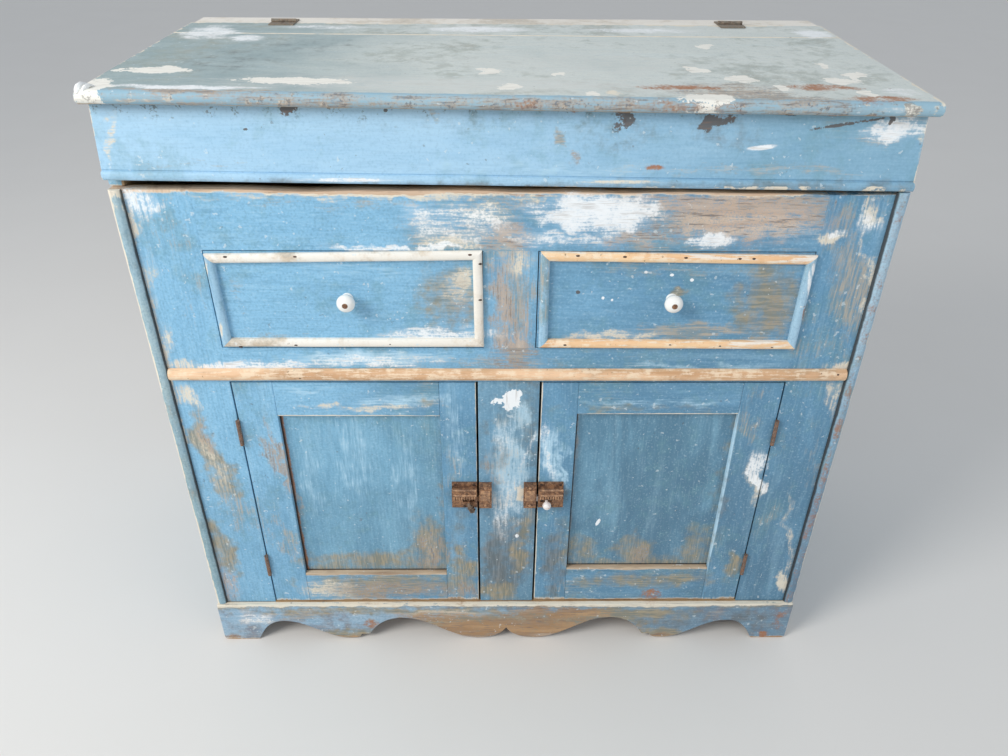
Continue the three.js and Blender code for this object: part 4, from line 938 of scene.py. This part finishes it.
# turned porcelain knobs on their screws, as shares of the knob's radius and reach
KNOB = ((0.62, 0.0), (0.62, 0.06), (0.5, 0.14), (0.42, 0.24), (0.46, 0.34), (0.72, 0.42), (0.93, 0.5), (1.0, 0.61),
        (0.98, 0.72), (0.88, 0.83), (0.68, 0.92), (0.45, 0.97), (0.33, 0.985), (0.3, 0.96))
KNOB_SCREW = ((0.29, 0.9), (0.3, 0.97), (0.26, 0.995), (0.12, 1.0))
for s, _ in SIDES:
    node = f"drawer_{s}_knob"
    lo, hi = BOX[node]
    for name, form, segments, *finish in (("turned", KNOB, 40, porcelain, "porcelain", [node], 60),
                                          ("screw", KNOB_SCREW, 20, iron)):
        bm = bmesh.new()
        lathe_into(bm, ((lo.x + hi.x) / 2, hi.y, (lo.z + hi.z) / 2), OUT,
                   [((hi.x - lo.x) / 2 * r, (hi.y - lo.y) * reach) for r, reach in form], segments)
        settle(f"{node}_{name}", bm, f"drawer_{s}", *finish)

# ---------------------------------------------------------------- trim that only the looks have
# ribs, flutes and screws of the cast latches and the raised panels of their keepers
for s, _ in SIDES:
    lo, hi = BOX[f"latch_case_{s}"]
    span = hi.z - lo.z
    bm = bmesh.new()
    for z, tall, out in ((0.815, 0.07, 0.0016), (0.60, 0.1, 0.0026)):
        middle, half = lo.z + span * z, tall * span / 2
        outline = [(lo.y + SOFT, middle - half)] + arc(lo.y + 0.0006, middle, out, half, 270, 90, 6) + [
            (lo.y + SOFT, middle + half)]
        bar_into(bm, outline, lo.x + SOFT, hi.x - SOFT, 0.006, 0.00015)
    for k in range(9):
        x = lo.x + 0.0042 + (hi.x - lo.x - 0.0084) * k / 8
        tube_into(bm, [(x, lo.y + 0.0004, lo.z + span * 0.56), (x, lo.y - 0.0006, lo.z + span * 0.5),
                       (x, lo.y + 0.0002, lo.z + span * 0.415)], [0.0012, 0.0017, 0.0013], 10)
    settle(f"latch_ribs_{s}", bm, f"door_{s}", worn_highlit_iron)
    bm = bmesh.new()
    for fx, fz, back in ((0.12, 0.92, 0.0098), (0.88, 0.92, 0.0098), (0.5, 0.13, 0.0)):
        screw_into(bm, (lo.x + (hi.x - lo.x) * fx, lo.y + back, lo.z + span * fz), 0.0027)
    settle(f"latch_screws_{s}", bm, f"door_{s}", nail_iron)
    lo, hi = BOX[f"latch_keeper_{s}"]
    bm = bmesh.new()
    board_into(bm, Vector((lo.x + 0.0022, lo.y - 0.0014, lo.z + (hi.z - lo.z) * 0.36)),
               Vector((hi.x - 0.0022, lo.y + 0.001, hi.z - 0.009)), "z", 0.0011, 0.006, 0.006, 0.0002)
    for fz in (0.12, 0.92):
        screw_into(bm, ((lo.x + hi.x) / 2, lo.y, lo.z + (hi.z - lo.z) * fz), 0.0024)
    settle(f"keeper_trim_{s}", bm, "case", worn_highlit_iron)

# what is left of the left latch's own knob: a bent, broken lever
bm = bmesh.new()
start = Vector((-0.0685, BOX["latch_bolt_left"][0].y + 0.0015, 0.3645))
tube_into(bm, [start + Vector(off) for off in ((0, 0, 0), (0.001, -0.0025, -0.003), (0.004, -0.003, -0.009),
                                               (0.007, -0.0028, -0.015), (0.008, -0.002, -0.018))],
          [0.0026, 0.0036, 0.0044, 0.0046, 0.0028], 12)
for k in range(3):
    at = start + Vector((0.003 + 0.0022 * k, -0.003, -0.0065 - 0.0042 * k))
    lathe_into(bm, at, (0.6, -0.2, -0.8),
               [(0.0036, -0.0012), (0.0058, -0.0005), (0.0058, 0.0005), (0.0036, 0.0012)], 16)
settle("latch_lever_left", bm, "latch_bolt_left", lever_iron)

# the painted splinter that stands up where the lid's front left corner has split, as (back, up, radius)
SPLINTER = ((0.0, -0.0065, 0.0022), (0.005, -0.003, 0.0042), (0.011, 0.0004, 0.0046), (0.018, 0.0012, 0.0038),
            (0.027, -0.0006, 0.003), (0.038, -0.0032, 0.0016))
corner = Vector((LID_LEFT, LID_FRONT, LID_TOP))
bm = bmesh.new()
for aside, run, fat in ((0.0, 1.0, 1.0), (0.006, 0.7, 0.75)):
    tube_into(bm, [corner + Vector((0.0062 + aside + 0.3 * aside * k, 0.0045 + back * run, up))
                   for k, (back, up, _) in enumerate(SPLINTER)], [fat * r for _, _, r in SPLINTER], 10)
for v in bm.verts:
    v.co += wander(v.co, 0.0016, 260, 3)
    v.co.x = max(v.co.x, corner.x + 0.0004)
settle("lid_corner_splinter", bm, "lid", chalk_white, SLOT["lid_board_front"], sharp=24)

# nails: heads and holes that the photograph shows, and plain rows on the sides and back


def nails(name, body, places, direction, radius, long=1.0):
    """Low domes at the places, long times as wide as they are high."""
    bm = bmesh.new()
    for spot in places:
        first = len(bm.verts)
        lathe_into(bm, Vector(spot) - Vector(direction) * 0.0006, direction,
                   [(radius * 0.8, 0), (radius, 0.0007), (radius * 0.7, 0.0011), (radius * 0.15, 0.0012)], 14)
        bm.verts.ensure_lookup_table()
        for v in bm.verts[first:]:
            v.co.x = spot[0] + (v.co.x - spot[0]) * long
    settle(name, bm, body, nail_iron)


MOULDING_NAILS = {
    "left": ((225, 257), (295, 257), (390, 257), (470, 255), (241, 347), (296, 345), (390, 344), (480, 264),
             (480, 300)),
    "right": ((578, 256), (625, 257), (686, 258), (740, 259), (754, 259), (792, 261), (565, 345), (607, 345),
              (670, 345), (720, 346), (772, 347))}
WAIST_NAILS = ((188, 378), (300, 378), (417, 377.5), (516, 377), (612, 376.5), (735, 376), (838, 375))
HEIGHTS = (0.088, 0.66, 0.842)
for s, _ in SIDES:
    out = BOX[f"drawer_{s}_moulding"][0].y - FRONT
    nails(f"moulding_nails_{s}", f"drawer_{s}", [on_front(u, v, out + 0.0006) for u, v in MOULDING_NAILS[s]], OUT,
          0.0017, 1.9)
out = BOX["waist_moulding"][0].y - FRONT
nails("waist_nails", "case", [on_front(u, v, out + 0.0012) for u, v in WAIST_NAILS], OUT, 0.002)
back = BOX["back_panel"][1].y
nails("back_nails", "case", [(x + dx, back - 0.0005, z + 0.004 * math.sin(x * 40 + z * 9))
                             for x in (-0.52, -0.32, -0.09, 0.155, 0.385) for dx in (0.0, 0.13)
                             for z in (*HEIGHTS, 1.02)], (0, 1, 0), 0.0026)
for s, sign in SIDES:
    nails(f"side_nails_{s}", "case", [(sign * HALF, y + 0.003 * math.sin(y * 31 + z * 17), z)
                                      for y in (-0.19, -0.02, 0.15) for z in HEIGHTS], (sign, 0, 0), 0.0024)

# ---------------------------------------------------------------- floor, light, camera
STEPS, FLOOR_RINGS = 36, (1.0, 2.5, 6.0, 15.0, 40.0)
t = Tree("floor_pale")
floor_mat = t.finish(t.mix(t.mul(t.even(1, 3, 3, 0.5), 0.3), 0xE2DFDA, 0xD6D2CC), 0.85)
bm = bmesh.new()
rings = [[bm.verts.new((r * math.cos(math.radians(a)), r * math.sin(math.radians(a)), 0.0))
          for a in range(0, 360, 360 // STEPS)] for r in FLOOR_RINGS]
bm.faces.new(rings[0])
for inner, outer in zip(rings, rings[1:]):
    for k in range(STEPS):
        bm.faces.new((inner[k], outer[k], outer[(k + 1) % STEPS], inner[(k + 1) % STEPS]))
floor_mesh = bpy.data.meshes.new("floor")
bm.to_mesh(floor_mesh)
bm.free()
floor_mesh.materials.append(floor_mat)
floor_mesh.polygons.foreach_set("use_smooth", [True] * len(floor_mesh.polygons))
floor = bpy.data.objects.new("floor", floor_mesh)
bpy.context.scene.collection.objects.link(floor)

world = bpy.data.worlds.new("studio")
bpy.context.scene.world = world
world.use_nodes = True
world.node_tree.nodes["Background"].inputs["Color"].default_value = (0.86, 0.92, 1.0, 1)
world.node_tree.nodes["Background"].inputs["Strength"].default_value = 0.62


def area(name, spot, aim, size, power, tint):
    lamp = bpy.data.lights.new(name, "AREA")
    lamp.shape, lamp.size, lamp.energy, lamp.color = "DISK", size, power, tint
    o = bpy.data.objects.new(name, lamp)
    o.location = spot
    o.rotation_mode = "QUATERNION"
    o.rotation_quaternion = (Vector(aim) - Vector(spot)).to_track_quat("-Z", "Y")
    bpy.context.scene.collection.objects.link(o)


area("window_light", (-2.5, -2.0, 2.7), (0, FRONT, 0.7), 1.6, 92, (1.0, 0.985, 0.96))
area("fill_light", (2.4, -2.6, 1.6), (0, FRONT, 0.5), 2.5, 16, (0.9, 0.95, 1.0))
bpy.context.scene.view_settings.view_transform = "Standard"

cam = bpy.data.cameras.new("camera")
cam.sensor_width, cam.lens = SENSOR, SENSOR * FOCAL / WIDE
cam_obj = bpy.data.objects.new("camera", cam)
cam_obj.matrix_world = Matrix([(right[i], -down[i], -ahead[i], eye[i]) for i in range(3)] + [(0, 0, 0, 1)])
bpy.context.scene.collection.objects.link(cam_obj)
bpy.context.scene.camera = cam_obj
